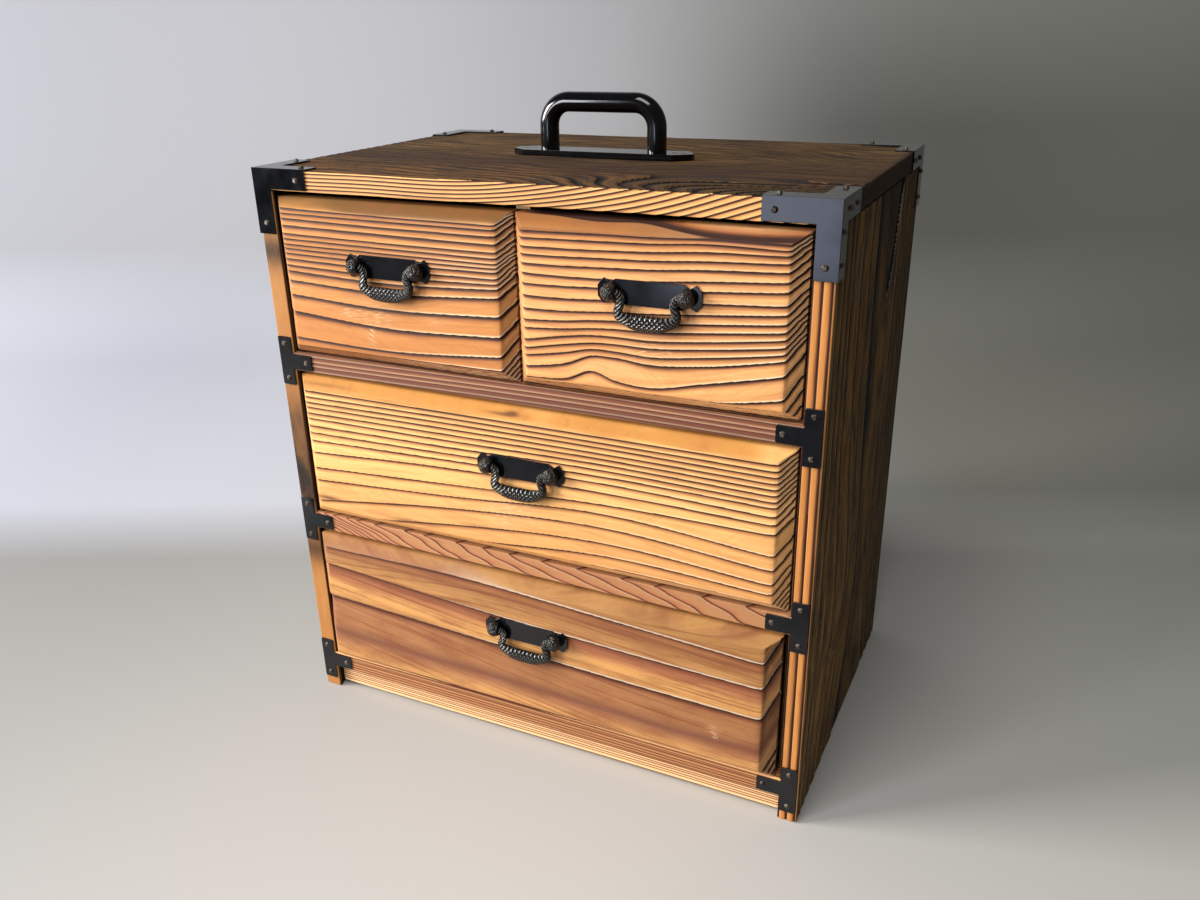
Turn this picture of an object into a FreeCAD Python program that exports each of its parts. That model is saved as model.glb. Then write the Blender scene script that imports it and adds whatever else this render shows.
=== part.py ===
import FreeCAD, Part
import math
import os

from FreeCAD import Placement, Rotation, Vector
import Sketcher

# A small tansu chest of brushed cedar boards with iron straps: four drawers on three rails, two
# side by side above two full-width ones, a drop pull on each and a bar handle on the top board.
#
# Frame: +Z up, the drawers face -Y, +X is the chest's right as its front is looked at from -Y.
# The origin is on the floor, at the middle of the rectangle that the whole chest covers.

doc = FreeCAD.newDocument("tansu_chest")

# ---------------------------------------------------------------- driving dimensions, mm
SIZES = [
    # carcass
    ("body_width", 400.0, "carcass width, over the side boards"),
    ("body_depth", 262.0, "carcass depth, front edge to back"),
    ("side_thick", 14.0, "side board"),
    ("top_thick", 14.0, "top board, laid over the side boards"),
    ("bay_height", 114.3, "clear height of one row of drawers"),
    ("rail_height", 14.0, "front rail, top to bottom"),
    ("rail_depth", 24.0, "front rail, front to back"),
    ("tenon_length", 7.0, "stub tenon of a rail in the side board"),
    ("tenon_height", 8.0, "stub tenon, top to bottom"),
    ("tenon_depth", 14.0, "stub tenon, front to back"),
    ("base_height", 19.5, "floor to the underside of the base rail"),
    ("kick_clear", 3.0, "floor to the underside of the kick board"),
    ("kick_setback", 5.5, "kick board behind the carcass front"),
    ("kick_thick", 10.0, "kick board"),
    ("shelf_thick", 8.0, "shelf that a row of drawers slides on"),
    ("housing_depth", 5.0, "housing of a shelf in the side board"),
    ("back_thick", 6.0, "back panel, between the side boards"),
    ("divider_thick", 10.0, "divider between the two upper drawers"),
    ("divider_clear", 1.5, "upper drawer fronts to the divider's edge"),
    # drawer fronts
    ("front_thick", 18.0, "drawer front, raised field to back face"),
    ("field_proud", 4.5, "raised field in front of the carcass front"),
    ("bevel_rise", 7.5, "height of the bevel round the raised field"),
    ("bevel_width", 9.0, "width of the bevel round the raised field"),
    ("gap_side", 1.5, "front to the side board"),
    ("gap_middle", 2.0, "between the two upper fronts"),
    ("gap_below", 1.5, "front to the rail below it"),
    ("gap_above", 2.8, "front to the rail above it"),
    ("gap_top", 3.8, "upper front to the top board"),
    ("lowest_gap_side", 3.0, "lowest front to the side board"),
    ("lowest_forward", 3.5, "lowest drawer in front of the others"),
    # drawer boxes
    ("box_behind", 22.0, "space behind a closed box, to the back panel"),
    ("box_height", 98.0, "box side, above the bottom board"),
    ("box_side_thick", 9.0, "box side"),
    ("box_back_thick", 9.0, "box back"),
    ("box_bottom_thick", 5.0, "bottom board, under the box sides"),
    ("box_divider_gap", 1.5, "box to the divider"),
    ("box_lap", 6.0, "depth of the front's housing for a box side"),
    ("slide_gap", 0.2, "bottom board to the shelf it slides on"),
    # iron straps
    ("iron_thick", 1.0, "sheet of the straps"),
    ("corner_arm", 43.5, "arm of a corner strap, along the edge"),
    ("corner_strap", 13.0, "width of a corner strap"),
    ("tee_height", 36.4, "upright of a tee plate"),
    ("tee_width", 11.2, "width of the upright"),
    ("tee_reach", 29.0, "arm's end from the chest's outer edge"),
    ("tee_arm", 11.5, "arm, top to bottom"),
    ("tee_inset", 1.1, "upright in from the chest's outer edge"),
    ("tee_round", 1.2, "rounding of the tee's corners"),
    ("tee_nail_offset", 13.1, "upright nails above and below the middle"),
    ("tee_nail_reach", 24.6, "arm nail from the chest's outer edge"),
    ("nail_radius", 2.0, "nail head"),
    ("nail_crown", 1.1, "nail head's flattened crown"),
    ("nail_height", 1.4, "nail head above the strap"),
    ("corner_nail_in", 6.5, "nail from the strap's outer edge"),
    ("corner_nail_end", 36.0, "end nail from the corner"),
    ("corner_nail_near", 17.5, "inner nail of a side strap from the corner"),
    # drop pulls
    ("pull_rise", 13.5, "pull's axis above the middle of the front"),
    ("lowest_pull_rise", 15.0, "the same, on the lowest drawer"),
    ("plate_half", 33.0, "pull plate, middle to tip"),
    ("plate_high", 7.6, "pull plate, half its height"),
    ("plate_shoulder", 21.5, "middle to the start of the corner cut"),
    ("plate_neck", 25.3, "middle to the neck between plate and tail"),
    ("plate_neck_high", 5.4, "half height at the neck"),
    ("plate_tail", 29.2, "middle to the tail's peak"),
    ("plate_tail_high", 7.9, "half height of the tail"),
    ("plate_tip_high", 3.4, "half height of the tail's outer edge"),
    ("plate_thick", 1.0, "pull plate"),
    ("post_half", 24.0, "middle to a post"),
    ("post_ball", 5.5, "radius of a post's head"),
    ("post_stand", 3.0, "plate to the head's centre"),
    ("post_flat", 3.8, "head's centre to its flat inner side"),
    ("post_shank", 2.0, "radius of the post's shank"),
    ("shank_gap", 0.05, "shank to its hole"),
    ("pin_radius", 1.5, "bail's pin in the post's head"),
    ("pin_length", 4.6, "bail's pin, from its shoulder"),
    ("pin_root", 1.0, "bail's pin, sunk into its shoulder"),
    ("pin_gap", 0.05, "pin to its bore, all round"),
    ("bail_gap", 0.3, "bail's shoulder to the head's flat side"),
    ("bail_arm", 2.5, "bail's arm, radius near the posts"),
    ("bail_knee_in", 7.2, "arm's inward knee, in from the post"),
    ("bail_elbow_in", 5.6, "arm's outward elbow, in from the post"),
    ("bail_elbow_drop", 9.8, "elbow below the axis"),
    ("bail_belly_drop", 17.0, "middle of the belly below the axis"),
    ("bail_belly_high", 5.1, "belly's half height at the middle"),
    ("bail_belly_deep", 3.0, "belly's half depth at the middle"),
    # carry handle
    ("handle_back", 132.0, "handle's middle behind the carcass front"),
    ("base_long", 138.0, "base plate, end to end"),
    ("base_wide", 24.0, "base plate, front to back"),
    ("base_thick", 4.2, "base plate"),
    ("base_cut_long", 12.0, "corner cut along the plate"),
    ("base_cut_wide", 8.0, "corner cut across the plate"),
    ("bar_radius", 6.8, "bar"),
    ("bar_span", 82.8, "leg to leg, centre to centre"),
    ("bar_rise", 32.2, "base plate to the bar's centre"),
    ("bar_bend", 16.0, "radius of a bend, at the bar's centre"),
    ("screw_end", 8.0, "plate's end to the outer screw"),
    ("screw_pitch", 6.6, "outer screw to inner screw"),
    ("screw_head", 2.7, "radius of a screw's head"),
    ("screw_sink", 1.6, "depth of a screw's countersink"),
    ("screw_shank", 1.3, "radius of a screw's shank"),
    ("screw_long", 14.0, "screw, head to tip"),
    ("screw_gap", 0.05, "screw to its hole"),
]

sheet = doc.addObject("Spreadsheet::Sheet", "Dimensions")
for row, (alias, value, note) in enumerate(SIZES, start=1):
    sheet.set(f"A{row}", note)
    sheet.set(f"B{row}", str(value))
    sheet.setAlias(f"B{row}", alias)
doc.recompute()

NODES = []


def mm(alias):
    """A driving dimension's value, for a shape that is worked out in this file."""
    return float(sheet.get(alias))


def bind(text):
    """An expression in which every word that is a driving dimension points at the sheet."""
    aliases = {alias for alias, _, _ in SIZES}
    words = []
    word = ""
    for letter in text + " ":
        if letter.isalnum() or letter == "_":
            word += letter
            continue
        words.append(f"Dimensions.{word}" if word in aliases else word)
        words.append(letter)
        word = ""
    return "".join(words).strip()


def worked_out(text):
    """The value of such an expression, for a shape that is worked out in this file."""
    cell = f"D{len(SIZES) + 1}"
    plain = bind(text).replace("Dimensions.", "")
    sheet.set(cell, "=" + plain)
    sheet.recompute()
    return float(sheet.get(cell))


# ---------------------------------------------------------------- places that pieces share
FRONT_REACH = "(lowest_forward + field_proud + plate_thick + post_stand + post_ball)"
BACK_REACH = "(iron_thick + nail_height)"
FRONT = f"(({FRONT_REACH} - {BACK_REACH} - body_depth) / 2)"
BACK = f"({FRONT} + body_depth)"
EDGE = "(body_width / 2)"
WALL = "(body_width / 2 - side_thick)"
AXIS_STAND = "(plate_thick + post_stand)"
ROWS = ("lowest", "middle", "upper")


def shelf_top(level):
    """Height of the rail's and shelf's top under row 0 (lowest), 1 (middle) or 2 (upper)."""
    return f"(base_height + rail_height + {level} * (rail_height + bay_height))"


CEILING = f"({shelf_top(2)} + bay_height)"
TOP = f"({CEILING} + top_thick)"


# ---------------------------------------------------------------- small builders
def move(piece, x, y, z):
    """Bind a piece's place to expressions."""
    piece.setExpression("Placement.Base.x", bind(x))
    piece.setExpression("Placement.Base.y", bind(y))
    piece.setExpression("Placement.Base.z", bind(z))
    return piece


def box(name, x, y, z):
    """A board between two places along each axis."""
    piece = doc.addObject("Part::Box", name)
    for side, (low, high) in zip(("Length", "Width", "Height"), (x, y, z)):
        piece.setExpression(side, bind(f"({high}) - ({low})"))
    return move(piece, x[0], y[0], z[0])


def rod(name, radius, length, x, y, z, turn):
    """A cylinder from a place, along +Z turned by a rotation."""
    piece = doc.addObject("Part::Cylinder", name)
    piece.setExpression("Radius", bind(radius))
    piece.setExpression("Height", bind(length))
    piece.Placement = Placement(Vector(), turn)
    return move(piece, x, y, z)


def fuse(name, pieces):
    joined = doc.addObject("Part::MultiFuse", name)
    joined.Shapes = pieces
    joined.Refine = True
    return joined


def cut(name, base, tools):
    piece = doc.addObject("Part::Cut", name)
    piece.Base = base
    piece.Tool = tools[0] if len(tools) == 1 else fuse(f"{name}_cuts", tools)
    return piece


def node(name, piece):
    """Name a finished sub-part, and keep it for writing."""
    piece.Label = name
    NODES.append((name, piece))
    return piece


def feature(name, shape):
    piece = doc.addObject("Part::Feature", name)
    piece.Shape = shape
    return piece


def origin_plane(body, role):
    for plane in body.Origin.OriginFeatures:
        if plane.Role == role:
            return plane
    raise ValueError(role)


def centred_rectangle(body, name, role, width, height, offset=("0", "0", "0")):
    """A rectangle about its sketch's origin, on one of the body's own planes."""
    sketch = body.newObject("Sketcher::SketchObject", name)
    sketch.AttachmentSupport = (origin_plane(body, role), [""])
    sketch.MapMode = "FlatFace"
    for axis, place in zip("xyz", offset):
        sketch.setExpression(f"AttachmentOffset.Base.{axis}", bind(place))
    corners = [Vector(-1, -1), Vector(1, -1), Vector(1, 1), Vector(-1, 1)]
    for start, end in zip(corners, corners[1:] + corners[:1]):
        sketch.addGeometry(Part.LineSegment(start, end), False)
    for line in range(4):
        sketch.addConstraint(Sketcher.Constraint("Coincident", line, 2, (line + 1) % 4, 1))
        straight = "Horizontal" if line % 2 == 0 else "Vertical"
        sketch.addConstraint(Sketcher.Constraint(straight, line))
    sketch.addConstraint(Sketcher.Constraint("Symmetric", 0, 1, 1, 2, -1, 1))
    sketch.addConstraint(Sketcher.Constraint("DistanceX", 0, 1, 0, 2, worked_out(width)))
    sketch.renameConstraint(sketch.ConstraintCount - 1, "across")
    sketch.addConstraint(Sketcher.Constraint("DistanceY", 1, 1, 1, 2, worked_out(height)))
    sketch.renameConstraint(sketch.ConstraintCount - 1, "upright")
    sketch.setExpression("Constraints.across", bind(width))
    sketch.setExpression("Constraints.upright", bind(height))
    return sketch


def pad(body, name, sketch, length, away=False):
    piece = body.newObject("PartDesign::Pad", name)
    piece.Profile = sketch
    piece.setExpression("Length", bind(length))
    piece.Reversed = away
    return piece


def mirrored(sign, low, high):
    """A span on the right (sign 1), or the same span on the other side (sign -1)."""
    return (low, high) if sign > 0 else (f"-({high})", f"-({low})")


# ---------------------------------------------------------------- carcass
SHELF_FRONT = f"({FRONT} + rail_depth)"
SHELF_BACK = f"({BACK} - back_thick)"
SIDES = (("left", -1), ("right", 1))
RAILS = ("base_rail", "lower_rail", "upper_rail")
SHELVES = ("bottom_board", "lower_shelf", "upper_shelf")
TENON_FRONT = f"({FRONT} + (rail_depth - tenon_depth) / 2)"


def tenon_span(level):
    middle = f"({shelf_top(level)} - rail_height / 2)"
    return f"{middle} - tenon_height / 2", f"{middle} + tenon_height / 2"


def side_board(name, sign):
    """A side board down to the floor, with housings for the shelves and mortises for the rails."""
    board = box(f"{name}_blank", mirrored(sign, WALL, EDGE), (FRONT, BACK), ("0", CEILING))
    cuts = []
    for level in range(3):
        housing = mirrored(sign, WALL, f"{WALL} + housing_depth")
        cuts.append(box(f"{name}_housing_{level}", housing, (SHELF_FRONT, SHELF_BACK),
                        (f"{shelf_top(level)} - shelf_thick", shelf_top(level))))
        mortise = mirrored(sign, WALL, f"{WALL} + tenon_length")
        cuts.append(box(f"{name}_mortise_{level}", mortise,
                        (TENON_FRONT, f"{TENON_FRONT} + tenon_depth"), tenon_span(level)))
    return node(name, cut(name, board, cuts))


def rail(name, level):
    """A front rail between the side boards, with a stub tenon at each end."""
    body = box(f"{name}_body", (f"-{WALL}", WALL), (FRONT, SHELF_FRONT),
               (f"{shelf_top(level)} - rail_height", shelf_top(level)))
    tenons = box(f"{name}_tenons", (f"-{WALL} - tenon_length", f"{WALL} + tenon_length"),
                 (TENON_FRONT, f"{TENON_FRONT} + tenon_depth"), tenon_span(level))
    return node(name, fuse(name, [body, tenons]))


def shelf(name, level):
    """A thin board behind a rail, its top level with the rail's, its ends in the side boards."""
    half = f"{WALL} + housing_depth"
    return node(name, box(name, (f"-({half})", half), (SHELF_FRONT, SHELF_BACK),
                          (f"{shelf_top(level)} - shelf_thick", shelf_top(level))))


for side, sign in SIDES:
    side_board(f"{side}_side", sign)
for level in range(3):
    rail(RAILS[level], level)
    shelf(SHELVES[level], level)
node("kick_board", box("kick_board", (f"-{WALL}", WALL),
                       (f"{FRONT} + kick_setback", f"{FRONT} + kick_setback + kick_thick"),
                       ("kick_clear", "base_height")))
node("back_panel", box("back_panel", (f"-{WALL}", WALL), (SHELF_BACK, BACK),
                       ("kick_clear", CEILING)))
DIVIDER_FRONT = f"({FRONT} - field_proud + front_thick + divider_clear)"
node("divider", box("divider", ("-divider_thick / 2", "divider_thick / 2"),
                    (DIVIDER_FRONT, SHELF_BACK), (shelf_top(2), CEILING)))


# ---------------------------------------------------------------- carry handle
SCREW_PLACES = [sign * (mm("base_long") / 2 - mm("screw_end") - inner * mm("screw_pitch"))
                for sign in (-1, 1) for inner in (0, 1)]


def countersunk(name, head, shank, length, grow):
    """Four countersunk shapes, flush with the base plate's top: the screws, or their holes."""
    top = worked_out(f"{TOP} + base_thick")
    y = worked_out(f"{FRONT} + handle_back")
    shapes = []
    for x in SCREW_PLACES:
        cone = Part.makeCone(shank + grow, head + grow, mm("screw_sink"),
                             Vector(x, y, top - mm("screw_sink")))
        stem = Part.makeCylinder(shank + grow, length, Vector(x, y, top - length))
        shapes.append(cone.fuse(stem).removeSplitter())
    return feature(name, Part.makeCompound(shapes))


def base_plate():
    """A flat bar under the handle, with its four corners cut."""
    body = doc.addObject("PartDesign::Body", "base_plate_body")
    outline = centred_rectangle(body, "base_outline", "XY_Plane", "base_long", "base_wide")
    pad(body, "base_pad", outline, "base_thick")
    move(body, "0", f"{FRONT} + handle_back", TOP)
    doc.recompute()
    slab = body.Tip
    upright = [f"Edge{i}" for i, edge in enumerate(slab.Shape.Edges, start=1)
               if abs(edge.tangentAt(edge.FirstParameter).z) > 0.99]
    corner = body.newObject("PartDesign::Chamfer", "base_corners")
    corner.Base = (slab, upright)
    corner.ChamferType = "Two distances"
    corner.setExpression("Size", bind("base_cut_long"))
    corner.setExpression("Size2", bind("base_cut_wide"))
    return body


def bar_handle():
    """A round bar bent twice, standing on the base plate."""
    half = mm("bar_span") / 2
    rise = mm("bar_rise")
    bend = mm("bar_bend")
    nook = bend * (1 - math.sqrt(0.5))
    points = {
        "left_foot": Vector(-half, 0, 0), "left_bend": Vector(-half, 0, rise - bend),
        "left_mid": Vector(-half + nook, 0, rise - nook), "left_top": Vector(bend - half, 0, rise),
        "right_top": Vector(half - bend, 0, rise), "right_mid": Vector(half - nook, 0, rise - nook),
        "right_bend": Vector(half, 0, rise - bend), "right_foot": Vector(half, 0, 0),
    }
    path = Part.Wire([
        Part.LineSegment(points["left_foot"], points["left_bend"]).toShape(),
        Part.Arc(points["left_bend"], points["left_mid"], points["left_top"]).toShape(),
        Part.LineSegment(points["left_top"], points["right_top"]).toShape(),
        Part.Arc(points["right_top"], points["right_mid"], points["right_bend"]).toShape(),
        Part.LineSegment(points["right_bend"], points["right_foot"]).toShape(),
    ])
    section = Part.Wire([Part.makeCircle(mm("bar_radius"), points["left_foot"])])
    piece = feature("carry_handle", path.makePipeShell([section], True, False))
    return move(piece, "0", f"{FRONT} + handle_back", f"{TOP} + base_thick")


screw_holes = countersunk("screw_holes", mm("screw_head"), mm("screw_shank"),
                          mm("screw_long") + mm("screw_gap"), mm("screw_gap"))
board = box("top_blank", (f"-{EDGE}", EDGE), (FRONT, BACK), (CEILING, TOP))
node("top_board", cut("top_board", board, [screw_holes]))
node("handle_base", cut("handle_base", base_plate(), [screw_holes]))
node("handle_screws", countersunk("handle_screws", mm("screw_head"), mm("screw_shank"),
                                  mm("screw_long"), 0.0))
node("carry_handle", bar_handle())


# ---------------------------------------------------------------- iron straps and their nails
def nail_head(place, outward):
    """A hammered nail head on the strap."""
    return Part.makeCone(mm("nail_radius"), mm("nail_crown"), mm("nail_height"), place, outward)


def corner_strap(name, sign_x, sign_y):
    """Sheet iron round a top corner: an L on the front or back, one on the top, one on the side."""
    outer_x = f"({EDGE} + iron_thick)"
    outer_z = f"({TOP} + iron_thick)"
    arm_x = f"({EDGE} - corner_arm)"
    strap_x = f"({EDGE} - corner_strap)"
    if sign_y < 0:
        skin_y = (f"{FRONT} - iron_thick", FRONT)
        arm_y = (f"{FRONT} - iron_thick", f"{FRONT} + corner_arm")
        strap_y = (f"{FRONT} - iron_thick", f"{FRONT} + corner_strap")
    else:
        skin_y = (BACK, f"{BACK} + iron_thick")
        arm_y = (f"{BACK} - corner_arm", f"{BACK} + iron_thick")
        strap_y = (f"{BACK} - corner_strap", f"{BACK} + iron_thick")
    wide = mirrored(sign_x, arm_x, outer_x)
    narrow = mirrored(sign_x, strap_x, outer_x)
    skin_x = mirrored(sign_x, EDGE, outer_x)
    strap_z = (f"{TOP} - corner_strap", outer_z)
    arm_z = (f"{TOP} - corner_arm", outer_z)
    skin_z = (TOP, outer_z)
    flanges = [(wide, skin_y, strap_z), (narrow, skin_y, arm_z), (wide, strap_y, skin_z),
               (narrow, arm_y, skin_z), (skin_x, arm_y, strap_z), (skin_x, strap_y, arm_z)]
    boxes = [box(f"{name}_flange_{i}", *spans) for i, spans in enumerate(flanges)]
    return node(name, fuse(name, boxes))


def corner_nails(sign_x, sign_y):
    """The nails of one corner strap: two in front or behind, two on top, four on the side."""
    edge = worked_out(EDGE)
    top = worked_out(TOP)
    face = worked_out(FRONT if sign_y < 0 else BACK)
    sheet_thick = mm("iron_thick")
    inset = mm("corner_nail_in")
    near = mm("corner_nail_near")
    end = mm("corner_nail_end")
    out_x = Vector(sign_x, 0, 0)
    out_y = Vector(0, sign_y, 0)
    corner = Vector(sign_x * edge, face, top)
    places = [(end, 0, inset, out_y), (inset, 0, end, out_y),
              (end, inset, 0, Vector(0, 0, 1)), (inset, end, 0, Vector(0, 0, 1)),
              (0, near, inset, out_x), (0, end, inset, out_x),
              (0, inset, near, out_x), (0, inset, end, out_x)]
    heads = []
    for x, y, z, outward in places:
        place = corner + Vector(-sign_x * x, -sign_y * y, -z) + outward * sheet_thick
        heads.append(nail_head(place, outward))
    return heads


def tee_plate(name, sign, level):
    """A tee over the joint of a rail and a side board."""
    body = doc.addObject("PartDesign::Body", f"{name}_body")
    upright = centred_rectangle(body, f"{name}_upright", "XZ_Plane", "tee_width", "tee_height")
    pad(body, f"{name}_upright_pad", upright, "iron_thick")
    reach = "(tee_reach - tee_inset - tee_width / 2)"
    arm = centred_rectangle(body, f"{name}_arm", "XZ_Plane", reach, "tee_arm",
                            (f"-{sign} * {reach} / 2", "0", "0"))
    pad(body, f"{name}_arm_pad", arm, "iron_thick")
    middle = f"{sign} * ({EDGE} - tee_inset - tee_width / 2)"
    move(body, middle, FRONT, f"{shelf_top(level)} - rail_height / 2")
    doc.recompute()
    sheet_iron = body.Tip
    half_width = mm("tee_width") / 2
    half_height = mm("tee_height") / 2
    arm_end = mm("tee_reach") - mm("tee_inset") - mm("tee_width") / 2
    names = []
    for i, edge in enumerate(sheet_iron.Shape.Edges, start=1):
        spot = edge.CenterOfMass
        along = abs(edge.tangentAt(edge.FirstParameter).y) > 0.99
        at_upright = (math.isclose(abs(spot.x), half_width, abs_tol=1e-3)
                      and math.isclose(abs(spot.z), half_height, abs_tol=1e-3))
        at_arm = math.isclose(abs(spot.x), arm_end, abs_tol=1e-3)
        if along and (at_upright or at_arm):
            names.append(f"Edge{i}")
    corners = body.newObject("PartDesign::Fillet", f"{name}_corners")
    corners.Base = (sheet_iron, names)
    corners.setExpression("Radius", bind("tee_round"))
    return node(name, body)


def tee_nails(sign, level):
    middle = worked_out(f"{shelf_top(level)} - rail_height / 2")
    edge = worked_out(EDGE)
    upright = edge - mm("tee_inset") - mm("tee_width") / 2
    face = worked_out(f"{FRONT} - iron_thick")
    offset = mm("tee_nail_offset")
    places = [(upright, offset), (upright, -offset), (edge - mm("tee_nail_reach"), 0.0)]
    return [nail_head(Vector(sign * x, face, middle + z), Vector(0, -1, 0)) for x, z in places]


heads = []
for side, sign_x in SIDES:
    for face, sign_y in (("front", -1), ("back", 1)):
        corner_strap(f"{face}_{side}_corner_strap", sign_x, sign_y)
        heads += corner_nails(sign_x, sign_y)
node("corner_nails", feature("corner_nails", Part.makeCompound(heads)))

heads = []
for side, sign in SIDES:
    for level, row in enumerate(ROWS):
        tee_plate(f"{row}_{side}_tee_plate", sign, level)
        heads += tee_nails(sign, level)
node("tee_nails", feature("tee_nails", Part.makeCompound(heads)))


# ---------------------------------------------------------------- drawers
UPPER_INNER = "(gap_middle / 2)"
BOX_INNER = "(divider_thick / 2 + box_divider_gap)"
FULL = f"({WALL} - gap_side)"
LOWEST = f"({WALL} - lowest_gap_side)"
# name, row, front's edges, box's faces, gap above, pull above the middle, how far forward
DRAWERS = [
    ("upper_left", 2, (f"-{FULL}", f"-{UPPER_INNER}"), (f"-{FULL}", f"-{BOX_INNER}"),
     "gap_top", "pull_rise", "0"),
    ("upper_right", 2, (UPPER_INNER, FULL), (BOX_INNER, FULL), "gap_top", "pull_rise", "0"),
    ("middle", 1, (f"-{FULL}", FULL), (f"-{FULL}", FULL), "gap_above", "pull_rise", "0"),
    ("lowest", 0, (f"-{LOWEST}", LOWEST), (f"-{LOWEST}", LOWEST),
     "gap_above", "lowest_pull_rise", "lowest_forward"),
]
BAIL_SIDES = 12
FACING_FRONT = Rotation(Vector(1, 0, 0), 90)
ALONG_X = Rotation(Vector(0, 1, 0), 90)


def raised_front(name, across, upright):
    """A drawer front's blank: a slab with a raised field, bevelled all round.

    Its place is the middle of the slab's front edge; the field stands out towards -Y.
    """
    body = doc.addObject("PartDesign::Body", f"{name}_body")
    outline = centred_rectangle(body, f"{name}_outline", "XZ_Plane", across, upright)
    pad(body, f"{name}_slab", outline, "front_thick - bevel_rise", away=True)
    foot = centred_rectangle(body, f"{name}_bevel_foot", "XZ_Plane", across, upright)
    field = centred_rectangle(body, f"{name}_field", "XZ_Plane", f"({across}) - 2 * bevel_width",
                              f"({upright}) - 2 * bevel_width", ("0", "0", "bevel_rise"))
    bevel = body.newObject("PartDesign::AdditiveLoft", f"{name}_bevel")
    bevel.Profile = foot
    bevel.Sections = [field]
    bevel.Ruled = True
    return body


def pull_plate(name, x, y, z):
    """The flat plate behind a pull: a cut-cornered middle and a fish tail at each end."""
    quarter = [("plate_shoulder", "plate_high"), ("plate_neck", "plate_neck_high"),
               ("plate_tail", "plate_tail_high"), ("plate_half", "plate_tip_high")]
    corners = [Vector(mm(across), 0, mm(up)) for across, up in quarter]
    right = corners + [Vector(corner.x, 0, -corner.z) for corner in reversed(corners)]
    outline = right + [Vector(-corner.x, 0, -corner.z) for corner in right]
    outline = Part.Face(Part.makePolygon(outline + outline[:1]))
    blank = feature(f"{name}_blank", outline.extrude(Vector(0, -mm("plate_thick"), 0)))
    move(blank, x, y, z)
    holes = [rod(f"{name}_hole_{side}", "post_shank + shank_gap", "plate_thick",
                 f"({x}) + {sign} * post_half", y, z, FACING_FRONT) for side, sign in SIDES]
    return cut(name, blank, holes)


def pull_posts(name, x, y, z):
    """Two round heads with a flat inner side, a cross bore for the bail, and a shank each."""
    axis = f"({y}) - {AXIS_STAND}"
    posts = []
    for side, sign in SIDES:
        centre = f"({x}) + {sign} * post_half"
        near = f"({centre}) - {sign} * post_flat"
        head = doc.addObject("Part::Sphere", f"{name}_head_{side}")
        head.setExpression("Radius", bind("post_ball"))
        flat_angle = "asin(post_flat / post_ball)"
        if sign > 0:
            head.setExpression("Angle1", bind(f"-{flat_angle}"))
        else:
            head.setExpression("Angle2", bind(flat_angle))
        head.Placement = Placement(Vector(), ALONG_X)
        move(head, centre, axis, z)
        shank = rod(f"{name}_shank_{side}", "post_shank", f"{AXIS_STAND} + front_thick - pin_radius",
                    centre, f"({y}) + front_thick", z, FACING_FRONT)
        seat = box(f"{name}_seat_{side}", (f"({centre}) - 2 * post_ball", f"({centre}) + 2 * post_ball"),
                   (f"({y}) - plate_thick", f"({y}) + 2 * post_ball"),
                   (f"({z}) - 2 * post_ball", f"({z}) + 2 * post_ball"))
        head = cut(f"{name}_round_{side}", head, [seat])
        depth = "(pin_length - bail_gap + pin_gap)"
        bore = rod(f"{name}_bore_{side}", "pin_radius + pin_gap", depth,
                   near if sign > 0 else f"({near}) - {depth}", axis, z, ALONG_X)
        posts.append(cut(f"{name}_{side}", fuse(f"{name}_solid_{side}", [head, shank]), [bore]))
    both = doc.addObject("Part::Compound", name)
    both.Links = posts
    return both


def bail_sections():
    """Sections of the bail from its middle to one post: across, drop, half width, half depth."""
    shoulder = mm("post_half") - mm("post_flat") - mm("bail_gap")
    arm = mm("bail_arm")
    drop = mm("bail_belly_drop")
    high = mm("bail_belly_high")
    deep = mm("bail_belly_deep")
    knee = mm("post_half") - mm("bail_knee_in")
    elbow = mm("post_half") - mm("bail_elbow_in")
    elbow_drop = mm("bail_elbow_drop")
    return [
        (0.0, drop, high, deep),
        (elbow * 0.45, drop * 0.982, high * 0.93, deep),
        (elbow * 0.78, drop * 0.888, high * 0.76, deep * 0.97),
        (elbow * 0.97, (drop + elbow_drop) / 2, arm * 1.28, arm * 1.04),
        (elbow, elbow_drop, arm * 1.16, arm),
        (knee, elbow_drop * 0.56, arm * 1.08, arm),
        (knee + (shoulder - knee) * 0.25, elbow_drop * 0.15, arm * 1.04, arm),
        (shoulder, 0.0, arm, arm),
    ]


def smoothed(rows, steps):
    """More rows between the given ones, on a curve that passes through them."""
    finer = []
    for i in range(len(rows) - 1):
        around = (rows[max(i - 1, 0)], rows[i], rows[i + 1], rows[min(i + 2, len(rows) - 1)])
        for step in range(steps):
            t = step / steps
            finer.append(tuple(
                b + 0.5 * t * (c - a + t * (2 * a - 5 * b + 4 * c - d + t * (3 * b - a - 3 * c + d)))
                for a, b, c, d in zip(*around)))
    return finer + [rows[-1]]


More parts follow.
